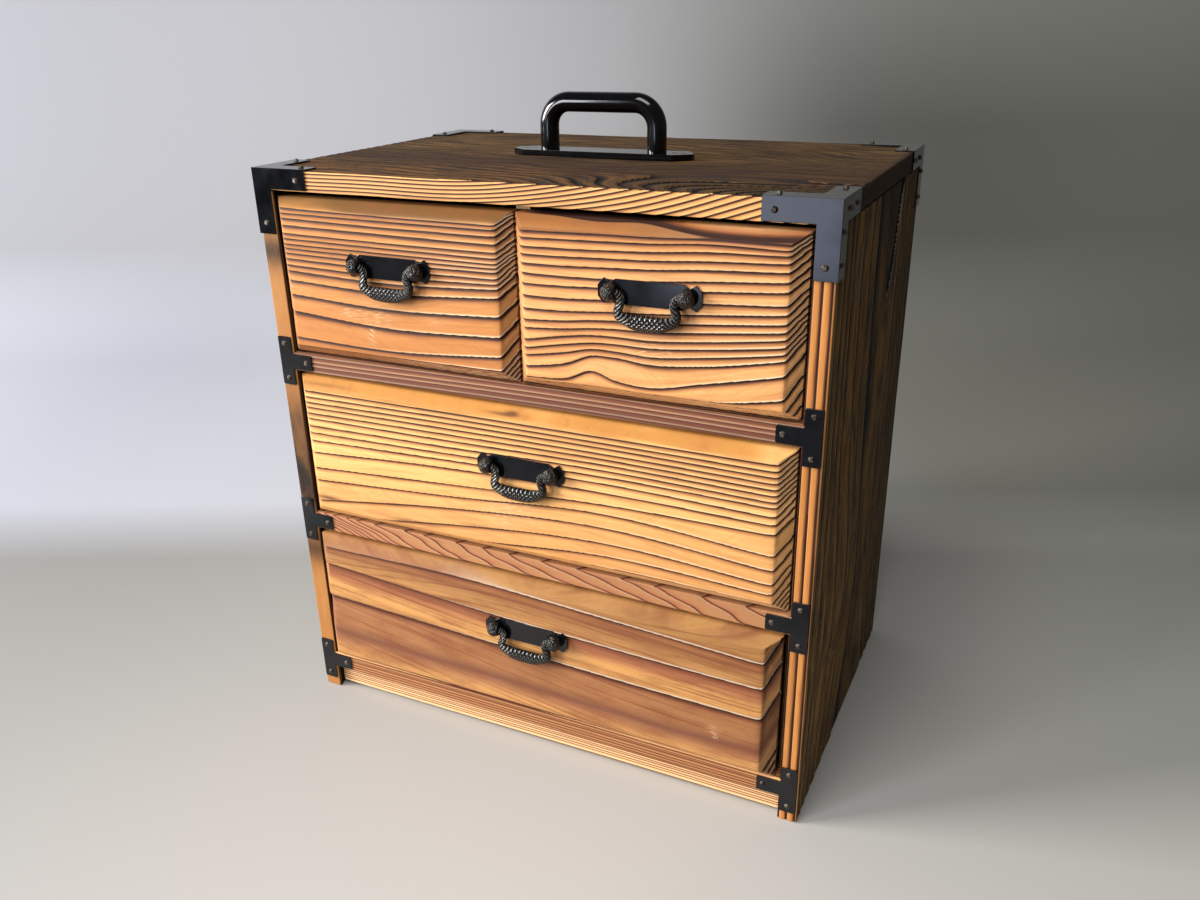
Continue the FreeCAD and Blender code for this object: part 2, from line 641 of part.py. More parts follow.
def bail(name, x, y, z):
    """A cast drop handle: a thick belly, an S-shaped arm up to each post, and a pin in each."""
    half = bail_sections()
    middle = [(-across, drop, wide, deep) for across, drop, wide, deep in reversed(half[1:])]
    line = smoothed(middle + half, 2)
    wires = []
    for i, (across, drop, wide, deep) in enumerate(line):
        before = line[max(i - 1, 0)]
        after = line[min(i + 1, len(line) - 1)]
        along = Vector(after[0] - before[0], 0, before[1] - after[1])
        if i in (0, len(line) - 1):
            along = Vector(1, 0, 0)
        along.normalize()
        long_way = Vector(-along.z, 0, along.x)
        centre = Vector(across, 0, -drop)
        ring = []
        for side in range(BAIL_SIDES):
            angle = 2 * math.pi * side / BAIL_SIDES
            ring.append(centre + long_way * (wide * math.cos(angle))
                        + Vector(0, deep * math.sin(angle), 0))
        wires.append(Part.makePolygon(ring + ring[:1]))
    shape = Part.makeLoft(wires, True, True)
    shoulder = half[-1][0]
    reach = shoulder + mm("pin_length")
    inside = shoulder - mm("pin_root")
    for sign in (-1, 1):
        pin = Part.makeCylinder(mm("pin_radius"), reach, Vector(), Vector(sign, 0, 0))
        core = Part.makeCylinder(mm("pin_radius"), inside, Vector(), Vector(sign, 0, 0))
        shape = shape.fuse(pin.cut(core))
    return move(feature(name, shape.removeSplitter()), x, f"({y}) - {AXIS_STAND}", z)


def drawer(name, level, front_span, box_span, gap_over, rise, forward):
    """One drawer: a raised front, a box of four boards, and a drop pull."""
    floor = shelf_top(level)
    left, right = front_span
    box_left, box_right = box_span
    middle_x = f"(({left}) + ({right})) / 2"
    upright = f"(bay_height - gap_below - {gap_over})"
    middle_z = f"({floor} + gap_below + {upright} / 2)"
    slab_y = f"({FRONT} + bevel_rise - field_proud - {forward})"
    field_y = f"({FRONT} - field_proud - {forward})"
    back_y = f"({field_y} + front_thick)"
    lap_y = f"({back_y} - box_lap)"
    end_y = f"({SHELF_BACK} - box_behind - {forward})"
    under = f"({floor} + slide_gap)"
    above = f"({under} + box_bottom_thick)"
    brim = f"({above} + box_height)"
    left_side = (box_left, f"({box_left}) + box_side_thick")
    right_side = (f"({box_right}) - box_side_thick", box_right)
    pull_z = f"({middle_z} + {rise})"

    blank = raised_front(f"{name}_front_blank", f"({right}) - ({left})", upright)
    move(blank, middle_x, slab_y, middle_z)
    cuts = [box(f"{name}_housing_{side}", span, (lap_y, back_y), (above, brim))
            for side, span in (("left", left_side), ("right", right_side))]
    cuts += [rod(f"{name}_post_hole_{side}", "post_shank + shank_gap", "front_thick",
                 f"({middle_x}) + {sign} * post_half", back_y, pull_z, FACING_FRONT)
             for side, sign in SIDES]
    node(f"{name}_drawer_front", cut(f"{name}_drawer_front", blank, cuts))
    for side, span in (("left", left_side), ("right", right_side)):
        label = f"{name}_drawer_{side}_side"
        node(label, box(label, span, (lap_y, end_y), (above, brim)))
    label = f"{name}_drawer_back"
    node(label, box(label, (left_side[1], right_side[0]), (f"{end_y} - box_back_thick", end_y),
                    (above, brim)))
    label = f"{name}_drawer_bottom"
    node(label, box(label, (box_left, box_right), (back_y, end_y), (under, above)))
    place = (middle_x, field_y, pull_z)
    node(f"{name}_pull_plate", pull_plate(f"{name}_pull_plate", *place))
    node(f"{name}_pull_posts", pull_posts(f"{name}_pull_posts", *place))
    node(f"{name}_bail", bail(f"{name}_bail", *place))


for details in DRAWERS:
    drawer(*details)


# ---------------------------------------------------------------- check and write
doc.recompute()
for piece in doc.Objects:
    faults = [state for state in piece.State if state in ("Invalid", "Error")]
    if faults:
        raise RuntimeError(f"{piece.Label}: {faults}")
os.makedirs("parts", exist_ok=True)
for name, piece in NODES:
    shape = piece.Shape
    if shape.isNull() or not shape.isValid():
        raise RuntimeError(f"{name}: no valid shape")
    shape.exportStep(f"parts/{name}.step")
print(f"{len(NODES)} sub-parts, front at y = {worked_out(FRONT):.2f}, top at z = {worked_out(TOP):.2f}")
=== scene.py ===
# %% [markdown]
# # A small tansu chest in brushed cedar
#
# The chest is a box of cedar boards with iron straps, four drawers and a bar handle on top. Its
# boards are scorched and then brushed, so the hard dark growth lines stand out and the soft pale
# wood between them is worn away. The solids come ready made, in one frame with the joints; here
# each board gets its skin, the iron its finish, and the whole a floor, light and a camera.

# %% Load the solids
import math

import bpy
import numpy as np
from mathutils import Matrix, Vector


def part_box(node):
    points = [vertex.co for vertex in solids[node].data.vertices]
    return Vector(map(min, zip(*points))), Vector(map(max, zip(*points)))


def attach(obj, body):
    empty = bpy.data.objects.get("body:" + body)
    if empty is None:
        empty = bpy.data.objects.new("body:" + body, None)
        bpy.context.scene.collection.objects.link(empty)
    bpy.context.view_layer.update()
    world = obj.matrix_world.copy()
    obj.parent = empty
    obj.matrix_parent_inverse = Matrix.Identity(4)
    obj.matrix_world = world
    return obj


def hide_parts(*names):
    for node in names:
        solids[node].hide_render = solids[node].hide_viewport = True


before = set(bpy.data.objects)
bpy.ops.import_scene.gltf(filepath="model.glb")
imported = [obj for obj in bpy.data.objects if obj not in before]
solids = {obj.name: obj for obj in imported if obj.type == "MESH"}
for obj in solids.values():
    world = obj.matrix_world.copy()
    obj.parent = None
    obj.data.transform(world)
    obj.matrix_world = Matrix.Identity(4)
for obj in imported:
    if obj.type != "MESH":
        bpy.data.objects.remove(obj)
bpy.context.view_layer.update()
MM = 0.001

# %% [markdown]
# ## Colours
#
# Colours are written as sRGB hex, the way a paint chart gives them. Blender mixes light in linear
# values, so one function turns each hex colour into those. Linear numbers could be written
# straight away, but nobody can read a colour from them.

# %% From hex to linear colour


def linear(hex_colour):
    """An sRGB hex colour as linear red, green, blue and alpha."""
    channels = [int(hex_colour[i:i + 2], 16) / 255 for i in (0, 2, 4)]
    return [c / 12.92 if c <= 0.04045 else ((c + 0.055) / 1.055) ** 2.4 for c in channels] + [1.0]


print("808080 is", round(linear("808080")[0], 3), "in linear light")

# %% [markdown]
# ## Nodes in one call
#
# A material is a chain of small steps, and each step is a shader node. Added by hand, a node takes
# four or five lines. A function for every kind of node would be the other way, but it would hide
# what they have in common. One function that takes the kind, what goes in and the settings keeps
# each step to a line or two, and the material reads as a list of what goes into what.

# %% Add a node


def add(tree, kind, inputs=(), stops=(), **settings):
    """Adds a shader node with its settings and links.

    inputs gives sockets in order, or by name or number. Each is a number, a colour, another node
    or one of its outputs. stops are a colour ramp's (place, hex colour) pairs.
    """
    node = tree.nodes.new(f"ShaderNode{kind}")
    for name, value in settings.items():
        setattr(node, name, value)
    for key, value in inputs.items() if isinstance(inputs, dict) else enumerate(inputs):
        if isinstance(value, bpy.types.Node):
            value = next(output for output in value.outputs if output.enabled)
        if isinstance(value, bpy.types.NodeSocket):
            tree.links.new(value, node.inputs[key])
        else:
            node.inputs[key].default_value = value
    if stops:
        band = node.color_ramp.elements
        band[0].position, band[1].position = stops[0][0], stops[-1][0]
        band[0].color, band[1].color = linear(stops[0][1]), linear(stops[-1][1])
        for place, colour in stops[1:-1]:
            band.new(place).color = linear(colour)
    return node


def new_material(name):
    """A material and its empty node tree."""
    material = bpy.data.materials.new(name)
    material.use_nodes = True
    material.node_tree.nodes.clear()
    return material, material.node_tree


print(len(bpy.data.materials), "plain materials came with the solids")

# %% [markdown]
# ## The look of brushed cedar
#
# In a growth ring the pale wood of spring comes first and a thin, hard, dark line of late summer
# ends it. A scorched and brushed board keeps that line as a ledge: the pale wood swells towards
# it and drops away sharply below it. Each board's mesh therefore carries the ring number and the
# ring's width in millimetres at every point. The shader takes the ring number's fraction to know
# how far below the last line a point lies, and darkens it there. A picture could hold the same
# lines, but numbers on the mesh keep colour and relief in step and stay sharp close up.
#
# Three more numbers say how the board has fared and where light is painted on: how pale its
# lips are, partly worn and partly a painted highlight; how dark a place is, from scorching, and on
# a front's side bevels also from painted shade; and where hands and pulls have scuffed it.

# %% [markdown]
# ## Marks along the grain
#
# Cedar's smaller marks are long and thin. Fibres torn by the brush run about 9 mm, streaks of
# colour 45 mm and fine threads 170 mm, and a band of colour wanders over 130 mm. All four are one
# noise, stretched along the grain: its first coordinate is millimetres along the board, divided by
# the mark's length, and its second counts across. Real fibres are too fine to show from here, so
# they are drawn coarser, about 0.6 mm wide.

# %% Noise drawn out along the grain

FIBRE_MM, STREAK_MM, THREAD_MM, WANDER_MM = 9.0, 45.0, 170.0, 130.0
FIBRE_WIDTH_MM, THREAD_WIDTH_MM = 0.625, 2.0
STREAKS_PER_RING, WANDERS_PER_RING = 3.0, 1.0


def drawn_noise(tree, along, across, times, along_mm, detail):
    """Noise with marks along_mm long; the more times across counts, the thinner they are."""
    spot = add(tree, "CombineXYZ", {
        "X": add(tree, "Math", (along, along_mm), operation="DIVIDE"),
        "Y": add(tree, "Math", (across, times), operation="MULTIPLY")})
    return add(tree, "TexNoise", {"Vector": spot, "Scale": 1.0, "Detail": detail,
                                  "Roughness": 0.62})


print("fibres", FIBRE_MM, "mm, streaks", STREAK_MM, "mm, threads", THREAD_MM, "mm long")

# %% [markdown]
# ## Dark line, shade and lip
#
# Below each ledge lies first the hard dark line, then painted shade in the hollow under it, where
# the colour of the late wood also fades out. Above it is a pale lip, partly worn by hands and
# partly a painted highlight on the ledge's lit edge. A noise could scatter such lines at random.
# Measured in millimetres from the ring's end instead, they stay with the ledges that the mesh has.

# %% The dark line, the shade below it and its lip

LINE_SHARE = 0.36


def line_masks(tree, ring, gap, streaks, line_mm, shade_mm):
    """Where painted shade below a line, the line itself and its pale lip lie, from 0 to 1."""
    part = add(tree, "Math", (ring,), operation="FRACT")
    rest = add(tree, "Math", (1.0, part), operation="SUBTRACT")
    below_mm = add(tree, "Math", (part, gap), operation="MULTIPLY")
    above_mm = add(tree, "Math", (rest, gap), operation="MULTIPLY")
    # A wide ring ends in a thicker line. On a narrow one the line keeps to about LINE_SHARE of it.
    widened = add(tree, "Math", (gap, 0.035, 0.75), operation="MULTIPLY_ADD")
    usual = add(tree, "Math", (widened, line_mm), operation="MULTIPLY")
    most = add(tree, "Math", (gap, LINE_SHARE), operation="MULTIPLY")
    even = add(tree, "Math", (most, usual), operation="MINIMUM")
    uneven = add(tree, "Math", (streaks, 1.1, 0.5), operation="MULTIPLY_ADD")
    thick = add(tree, "Math", (even, uneven), operation="MULTIPLY")
    shaded = add(tree, "Math", (thick, shade_mm), operation="ADD")
    in_shade = add(tree, "Math", (below_mm, shaded), operation="DIVIDE")
    in_line = add(tree, "Math", (below_mm, thick), operation="DIVIDE")
    # Each mask fades from its strongest to nothing between two places.
    masks = []
    for value, start, end, strongest in ((in_shade, 0.1, 1.0, 0.95), (in_line, 0.35, 1.3, 1.0),
                                         (above_mm, 0.05, 0.3, 1.0), (above_mm, 0.35, 1.9, 1.0)):
        masks.append(add(tree, "MapRange", {
            "Value": value, "From Min": start, "From Max": end, "To Min": strongest,
            "To Max": 0.0}, interpolation_type="SMOOTHSTEP"))
    # shade is painted shade under the ledge; lip is the pale lip, worn and painted as a highlight.
    shade, core, ledge, lip = masks
    return shade, add(tree, "Math", (core, ledge), operation="MAXIMUM"), lip


print(f"on a narrow ring the dark line takes about {LINE_SHARE:.0%} of it")

# %% [markdown]
# ## Brushed cedar
#
# The timber is cedar, scorched with a flame, brushed along the grain with a wire brush and left
# without varnish. To the eye it is matt, with a weak sheen on the hard lines: roughness 0.55 to
# 0.75, and more on the charred outer faces. Wood's IOR is about 1.5. Its specular level is lowered
# to 0.3, because the open fibres swallow part of the highlight.
#
# The colour is laid on in coats, as a stainer would: first the bands of the board, then streaks,
# threads and fibres, the painted shade below the ledges, the pale lips, worn and painted as a
# highlight, and the scuffs, the dark lines and last the soot, which on the fronts' side bevels is
# painted shade.

# %% Brushed cedar

SCUFF_COLOUR = "F6D2A4"
FIBRE_BUMP_MM = 0.25


def brushed_cedar(name, bands, line="34180B", shade="8E4F24", line_mm=1.9, shade_mm=3.2,
                  mottle=0.3, drift=0.8, streak=0.2, lip="FFE0B4", scorch="3A2416",
                  rough=(0.55, 0.75)):
    """Brushed cedar. bands are (ring number, hex colour) from the board's first ring to its last.

    line_mm and shade_mm are the widths of a dark line and of the painted shade below it. shade
    is the colour of darker streaks and of that painted shade. mottle and streak say how strong
    streaks and threads are, and drift how many rings the bands wander. lip is the colour of the
    pale lips, from wear and a painted highlight, and scorch that of scorched wood and of the
    painted shade on the fronts' side bevels. rough is the least and most roughness.
    """
    material, tree = new_material(name)
    ring, gap, along, worn, char, scuff = (
        add(tree, "Attribute", attribute_name=label).outputs["Fac"]
        for label in ("ring", "gap", "along", "worn", "char", "scuff"))
    across_mm = add(tree, "Math", (ring, gap), operation="MULTIPLY")
    streaks = drawn_noise(tree, along, ring, STREAKS_PER_RING, STREAK_MM, 5.0)
    wander = drawn_noise(tree, along, ring, WANDERS_PER_RING, WANDER_MM, 3.0)
    fibres = drawn_noise(tree, along, across_mm, 1 / FIBRE_WIDTH_MM, FIBRE_MM, 6.0)
    threads = drawn_noise(tree, along, across_mm, 1 / THREAD_WIDTH_MM, THREAD_MM, 3.0)

    first, last = bands[0][0], bands[-1][0]
    astray = add(tree, "Math", (wander, 0.5), operation="SUBTRACT")
    moved = add(tree, "Math", (astray, drift), operation="MULTIPLY")
    place = add(tree, "Math", (ring, moved), operation="ADD")
    place = add(tree, "Math", (place, first), operation="SUBTRACT")
    place = add(tree, "Math", (place, last - first), operation="DIVIDE")
    wood = add(tree, "ValToRGB", (place,), [((at - first) / (last - first), colour)
                                            for at, colour in bands])
    # Each cover is a noise cut off below start and above end, and spread from low to high.
    covers = []
    for noise, start, end, low, high in (
            (streaks, 0.38, 0.75, 0.0, mottle), (threads, 0.45, 0.75, 0.0, streak),
            (fibres, 0.5, 0.8, 0.0, 0.35), (fibres, 0.5, 0.64, 0.0, 1.0),
            (streaks, 0.25, 0.6, 0.65, 1.0), (fibres, 0.2, 0.8, *rough)):
        covers.append(add(tree, "MapRange", {
            "Value": noise, "From Min": start, "From Max": end, "To Min": low,
            "To Max": high}, interpolation_type="SMOOTHSTEP"))
    mottled, threaded, fibrous, scratched, patchy, roughness = covers
    painted_shade_below_line, on_line, on_lip = line_masks(tree, ring, gap, streaks, line_mm, shade_mm)
    rubbed_and_lit_lip = add(tree, "Math", (on_lip, worn), operation="MULTIPLY")
    scuffed = add(tree, "Math", (scratched, scuff), operation="MULTIPLY")
    charred_and_shaded = add(tree, "Math", (char, patchy), operation="MULTIPLY")
    # Below each line this lays painted shade, and on each lip a painted highlight with the wear.
    for mask, colour in ((mottled, shade), (threaded, shade), (fibrous, shade),
                         (painted_shade_below_line, shade), (rubbed_and_lit_lip, lip), (scuffed, SCUFF_COLOUR),
                         (on_line, line), (charred_and_shaded, scorch)):
        wood = add(tree, "Mix", {0: mask, 6: wood, 7: linear(colour)}, data_type="RGBA")

    relief = add(tree, "Bump", {"Height": fibres, "Strength": 0.4,
                                "Distance": FIBRE_BUMP_MM * MM})
    shader = add(tree, "BsdfPrincipled", {"Base Color": wood, "Roughness": roughness, "IOR": 1.5,
                                          "Specular IOR Level": 0.3, "Normal": relief})
    add(tree, "OutputMaterial", {"Surface": shader})
    print("material", name)
    return material


# %% [markdown]
# ## Ring numbers on a board
#
# The dark lines of a board are written as their heights at a few stations along it, in
# millimetres below its top edge, the way a carpenter would sketch the grain. Between stations the
# heights are joined smoothly. The ring number at a point then counts the lines above it, and its
# fraction says how far down to the next one the point lies. Noise could draw wood grain with less
# work, but its lines would not run where this chest's lines run.

# %% From line heights to ring numbers

NARROWEST_RING = 0.8
NARROWEST_AT_EDGE = 2.0


def join_stations(stations, heights, x):
    """Smooth heights between stations, level with the last one beyond each end."""
    stations = np.asarray(stations, float)
    heights = np.asarray(heights, float)
    slopes = np.gradient(heights, stations)
    x = np.clip(x, stations[0], stations[-1])
    i = np.clip(np.searchsorted(stations, x) - 1, 0, len(stations) - 2)
    step = stations[i + 1] - stations[i]
    t = (x - stations[i]) / step
    return ((2 * t**3 - 3 * t**2 + 1) * heights[i] + (t**3 - 2 * t**2 + t) * step * slopes[i]
            + (3 * t**2 - 2 * t**3) * heights[i + 1] + (t**3 - t**2) * step * slopes[i + 1])


def count_rings(stations, lines, x, down):
    """Ring number and ring width where x is along the board and down is below its top, in mm."""
    levels = [join_stations(stations, row, x) for row in lines]
    first_gap = np.maximum(levels[1] - levels[0], NARROWEST_AT_EDGE)
    last_gap = np.maximum(levels[-1] - levels[-2], NARROWEST_AT_EDGE)
    ring = np.where(down < levels[0], (down - levels[0]) / (2 * first_gap), 0.0)
    gap = 2 * first_gap
    for upper, lower in zip(levels, levels[1:]):
        width = np.maximum(lower - upper, NARROWEST_RING)
        ring = ring + np.clip((down - upper) / width, 0.0, 1.0)
        gap = np.where(down >= upper, width, gap)
    ring = ring + np.where(down > levels[-1], (down - levels[-1]) / last_gap, 0.0)
    return ring, np.where(down > levels[-1], last_gap, gap)


sample_ring = count_rings((0, 100), [(10, 10), (20, 20)], np.array([50.0]), np.array([15.0]))[0]
print("15 mm down, between lines at 10 and 20 mm, the ring number is", sample_ring[0])

# %% [markdown]
# ## What the brush and the fire leave
#
# A wire brush takes out the soft spring wood and can't move the hard line above it. The cut is
# therefore deepest just below a line and runs out towards the next line's lip. Wide rings hold
# more soft wood, so they lose more. Scorch marks and scuffs are soft oval spots, listed one by
# one.

# %% Depth of the brushing, and spots

FULL_CUT_RING = 8.0
CUT_CURVE = 1.6


def ledge_depth(ring, gap, deepest):
    """How far the brush has cut, in mm: most just below a line, nothing at the next line's lip.

    A ring FULL_CUT_RING wide is cut by deepest, a wide one by up to 1.3 times as much.
    """
    part = ring - np.floor(ring)
    strength = np.clip(gap / FULL_CUT_RING, 0.3, 1.3)
    return deepest * strength * (1 - part) ** CUT_CURVE


def spots_at(x, z, spots):
    """Sum of soft oval spots. Each is (x, z, half width, half height, strength), in mm."""
    total = np.zeros(len(x))
    for at_x, at_z, wide, tall, strength in spots:
        total += strength * np.exp(-((x - at_x) / wide) ** 2 - ((z - at_z) / tall) ** 2)
    return np.clip(total, 0, 1)


print("an 8 mm ring cut 1 mm deep:",
      np.round(ledge_depth(np.linspace(0, 0.9, 4), 8.0, 1.0), 2).tolist(), "mm from line to lip")

# %% [markdown]
# ## Raised drawer fronts
#
# Each front is a thick board with a flat field and a broad bevel all round. Its face is a height
# field: every point has one distance from the front plane, so a grid of points over its width and
# height describes it. The bevel cuts down through the rings, which is why the lines turn up along
# the side bevels, crowd together on the lower one and stretch out over the upper one. Counting
# rings on the height plus a share of the depth gives just that. The brush bites deeper on the
# bevels, where it meets the rings' ends, so the ledges are tallest there. Such a board could be
# sculpted by hand, but depths that are worked out give the same front every time.

# %% A grid as a mesh

SHARP_EDGE = math.radians(50)


def mesh_from(name, points, faces, values, material):
    """A smooth mesh in metres from points in mm, with named values per point."""
    mesh = bpy.data.meshes.new(name)
    mesh.from_pydata((np.asarray(points) * MM).tolist(), [], faces)
    for label, numbers in values.items():
        layer = mesh.attributes.new(label, "FLOAT", "POINT")
        layer.data.foreach_set("value", np.asarray(numbers, np.float32))
    mesh.polygons.foreach_set("use_smooth", [True] * len(mesh.polygons))
    mesh.materials.append(material)
    mesh.update()
    mesh.set_sharp_from_angle(angle=SHARP_EDGE)
    piece = bpy.data.objects.new(name, mesh)
    bpy.context.scene.collection.objects.link(piece)
    return piece


def grid_faces(columns, rows):
    """Quads of a grid whose points run along each row first."""
    corner = (np.arange(rows - 1)[:, None] * columns + np.arange(columns - 1)[None, :]).ravel()
    return np.stack([corner, corner + columns, corner + columns + 1, corner + 1], 1).tolist()


print("a grid of 3 by 3 points has", len(grid_faces(3, 3)), "faces")

# %% [markdown]
# ## Where the points lie
#
# A skin has to fit its board exactly, so its points are spread over the solid's own box. They lie
# closest near the edges, where bevel and arris turn, and further apart on the field. An even grid
# as fine as that would need several times as many.

# %% Places for the points


def box_mm(node):
    """Lowest and highest corner of a solid, in mm."""
    low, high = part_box(node)
    return np.array(low) / MM, np.array(high) / MM


def spread(low, high, step, edge, fine):
    """Places from low to high, close together within edge of either end."""
    start = np.arange(low, low + edge, fine)
    middle = np.linspace(low + edge, high - edge, max(2, round((high - low - 2 * edge) / step)))
    return np.unique(np.round(np.concatenate([start, middle, high + low - start]), 4))


print("the middle front's box is", np.round(box_mm("middle_drawer_front"), 1).tolist(), "mm")

# %% [markdown]
# ## Shape of a raised front
#
# The bevels run down by 7.5 mm. The one on the right is 9 mm wide and the others 6.5 mm. Where a
# bevel meets the field the brush has rounded the corner, so the two slopes are joined by a smooth
# curve and not by a crease. The back stays flat and the four edges straight, as in the solid.

# %% The shape of a raised front

BEVEL_RISE = 7.5
BEVEL_WIDTH = 9.0
SHORT_BEVEL = 6.5
CORNER_ROUNDING = 0.02
CORNER_SINK = 0.004


def front_depth(x, z, low, high):
    """Depth of the bevels at each point, and how far inside the nearest side and the top it is."""
    sides = np.minimum((high[0] - x) / BEVEL_WIDTH,
                       np.minimum(x - low[0], z - low[2]) / SHORT_BEVEL)
    upper = (high[2] - z) / SHORT_BEVEL
    inward = np.clip(1 - np.minimum(sides, upper), -3, 1)
    rounded = (inward + np.sqrt(inward**2 + CORNER_ROUNDING)) / 2 - CORNER_SINK
    return BEVEL_RISE * np.clip(rounded, 0, 1), sides, upper


def closed_front(x, y, z, columns, rows, back):
    """Points and faces of a height field with straight edges and a flat back, and its rim."""
    rim = (list(range(columns)) + [r * columns + columns - 1 for r in range(1, rows)]
           + [(rows - 1) * columns + c for c in range(columns - 2, -1, -1)]
           + [r * columns for r in range(rows - 2, 0, -1)])
    count, around = len(x), len(rim)
    points = np.concatenate([np.stack([x, y, z], 1),
                             np.stack([x[rim], np.full(around, back), z[rim]], 1)])
    faces = grid_faces(columns, rows)
    for i in range(around):
        j = (i + 1) % around
        faces.append([rim[j], count + j, count + i, rim[i]])
    faces.append([count + i for i in range(around)])
    return points, faces, rim


print("bevel", BEVEL_WIDTH, "or", SHORT_BEVEL, "mm wide and", BEVEL_RISE, "mm high")

# %% [markdown]
# ## Rings, wear and painted highlights on a front
#
# A tree's rings don't stand square to the board's face: they lean back, and a bevel that cuts into
# the board meets them at another height. Slow waves on the upper bevel and fine teeth on the other
# three keep the cut lines from looking ruled.

# %% Rings, wear and painted highlights on a front

LIP_FADE_MM = 90


def rings_down(x, z, low, high, depth, upper, sides, tilt, top_tilt):
    """Distance below the top edge, in mm, as the rings count it where a bevel cuts them."""
    lean = tilt[0] + (tilt[1] - tilt[0]) * (high[2] - z) / (high[2] - low[2])
    lean = np.where(upper < sides, top_tilt, lean)
    flow = (1.3 * np.sin(x / 19) + 0.8 * np.sin(x / 8.3 + 1)) * np.clip(top_tilt - 1, 0, 1)
    teeth = 0.6 * np.sin(z / 2.9 + 1.5 * np.sin(z / 11)) + 0.3 * np.sin(z / 1.3 + x / 2)
    wobble = np.where(upper < sides, flow, teeth)
    return high[2] - z + lean * depth + wobble * depth / 7


def rubbed_and_lit_lips(along, down, worn, worn_from, worn_under):
    """How pale each line's lip is: more to the right of worn_from and lower than worn_under."""
    # The pale lips are partly worn wood and partly a painted highlight on the ledges' lit edges.
    across = np.clip((along - worn_from) / LIP_FADE_MM, 0.06, 1)
    return worn * across * np.clip(down / worn_under, 0.15, 1)


print("lips turn pale over", LIP_FADE_MM, "mm")

# %% [markdown]
# ## From grid to drawer front
#
# Here the parts come together: a grid over the front, the depth of bevel and brush at each point,
# the ring numbers for the shader, the marks of use, and the painted highlight on the lips and the
# painted shade on the side bevels. The mesh then takes the solid's place. It rides on the same
# drawer, so it slides with it, and the solid is kept only for what touches it.

# %% A raised front

FIELD_STEPS, EDGE_STEPS = (1.6, 0.42), (0.6, 0.3)
BEVEL_START = 1.5
# On the right bevel the pale lips are a painted highlight along each ledge.
RIGHT_BEVEL_LIP_HIGHLIGHT = 0.9
# Painted shade on the left bevel of every front.
LEFT_BEVEL_SHADE = 0.3


def drawer_front(name, stations, lines, material, tilt, top_tilt=0.95, deepest=(0.95, 2.3),
                 worn_from=60.0, worn_under=70.0, worn=0.8, ends=0.3, char=(), scuff=()):
    """Replaces a drawer front's solid by a brushed one of the same outline.

    tilt and top_tilt say how far the rings lean behind the bevels, deepest how deep the brush
    goes on the field and on the bevels, and ends how much painted shade darkens the right bevel,
    the side turned from the window. worn says how pale the lips are, from wear and a painted
    highlight, to the right of worn_from and lower than worn_under. char and scuff are spots on
    the face.
    """
    low, high = box_mm(f"{name}_drawer_front")
    xs = spread(low[0], high[0], FIELD_STEPS[0], BEVEL_WIDTH + 1, EDGE_STEPS[0])
    zs = spread(low[2], high[2], FIELD_STEPS[1], 3.0, EDGE_STEPS[1])[::-1]
    x, z = (a.ravel() for a in np.meshgrid(xs, zs))
    depth, sides, upper = front_depth(x, z, low, high)
    down = rings_down(x, z, low, high, depth, upper, sides, tilt, top_tilt)
    ring, gap = count_rings(stations, lines, x - low[0], down)
    on_bevel = np.clip(depth / BEVEL_START, 0, 1) * (upper > sides)
    cut = ledge_depth(ring, gap, deepest[0] + (deepest[1] - deepest[0]) * on_bevel)
    y = low[1] + depth + cut
    right = (on_bevel > 0) & (x > high[0] - BEVEL_WIDTH)
    left = (on_bevel > 0) & (x < low[0] + SHORT_BEVEL) & (x - low[0] < z - low[2])
    lips = np.where(right, RIGHT_BEVEL_LIP_HIGHLIGHT, rubbed_and_lit_lips(x - low[0], down, worn, worn_from, worn_under))
    # The char mask also lays painted shade on the right bevel, turned from the window, and the
    # left one.
    scorched = np.clip(spots_at(x, z, char) + ends * right + LEFT_BEVEL_SHADE * left, 0, 1)
    points, faces, rim = closed_front(x, y, z, len(xs), len(zs), high[1])
    values = {"ring": ring, "gap": gap, "along": x, "worn": lips, "char": scorched,
              "scuff": spots_at(x, z, scuff)}
    values = {label: np.concatenate([numbers, numbers[rim]]) for label, numbers in values.items()}
    piece = mesh_from(f"{name}_front_skin", points, faces, values, material)
    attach(piece, f"{name}_drawer")
    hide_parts(f"{name}_drawer_front")
    print(piece.name, len(points), "points")


# %% [markdown]
# ## Upper left front
#
# This board is quarter-sawn: its lines run nearly level and close together, and the wood reddens
# towards the bottom. The pull has scuffed it in four places. Evenly spaced waves would be the
# short way to draw it, but each line is written at three stations, because the eye notices at
# once when a board's rings are all alike.

# %% The upper left front

upper_left_wood = brushed_cedar("upper_left_front_cedar", [
    (-1, "5E4018"), (-0.2, "704E20"), (0.0, "DA9852"), (8, "DC9C58"), (12, "D49250"),
    (14, "CA8546"), (18, "BC7A3E")], line_mm=2.1)
drawer_front("upper_left", (5, 91, 173), [
    (6.9, 7.8, 8.2), (9.9, 10.6, 10.9), (13.2, 14.6, 14.9), (18.0, 19.1, 19.9),
    (23.5, 24.6, 24.9), (27.0, 28.0, 28.5), (30.7, 31.4, 32.0), (33.6, 34.6, 34.7),
    (37.0, 37.9, 37.4), (40.7, 42.0, 41.6), (45.1, 46.6, 44.9), (49.1, 51.4, 48.2),
    (55.7, 58.2, 53.9), (65.7, 69.2, 66.1), (77.6, 82.4, 79.5), (96.6, 98.2, 92.6),
    (103.9, 103.6, 102.0), (108.0, 107.5, 106.5), (111.5, 111.5, 111.0)],
    upper_left_wood, tilt=(0.9, 1.9), top_tilt=0.8,
    scuff=[(-108, 326, 14, 9, 0.8), (-128, 326, 9, 4, 0.6), (-112, 312, 3, 7, 0.9),
           (-60, 328, 7, 4, 0.5)])

# %% [markdown]
# ## Upper right front
#
# A paler, yellower board. Its lower lines rise to a hump left of the middle, where a small branch
# pushed the rings up, and climb again to the right. That takes more stations than its neighbour
# has: smooth curves through three of them would miss the hump.

# %% The upper right front

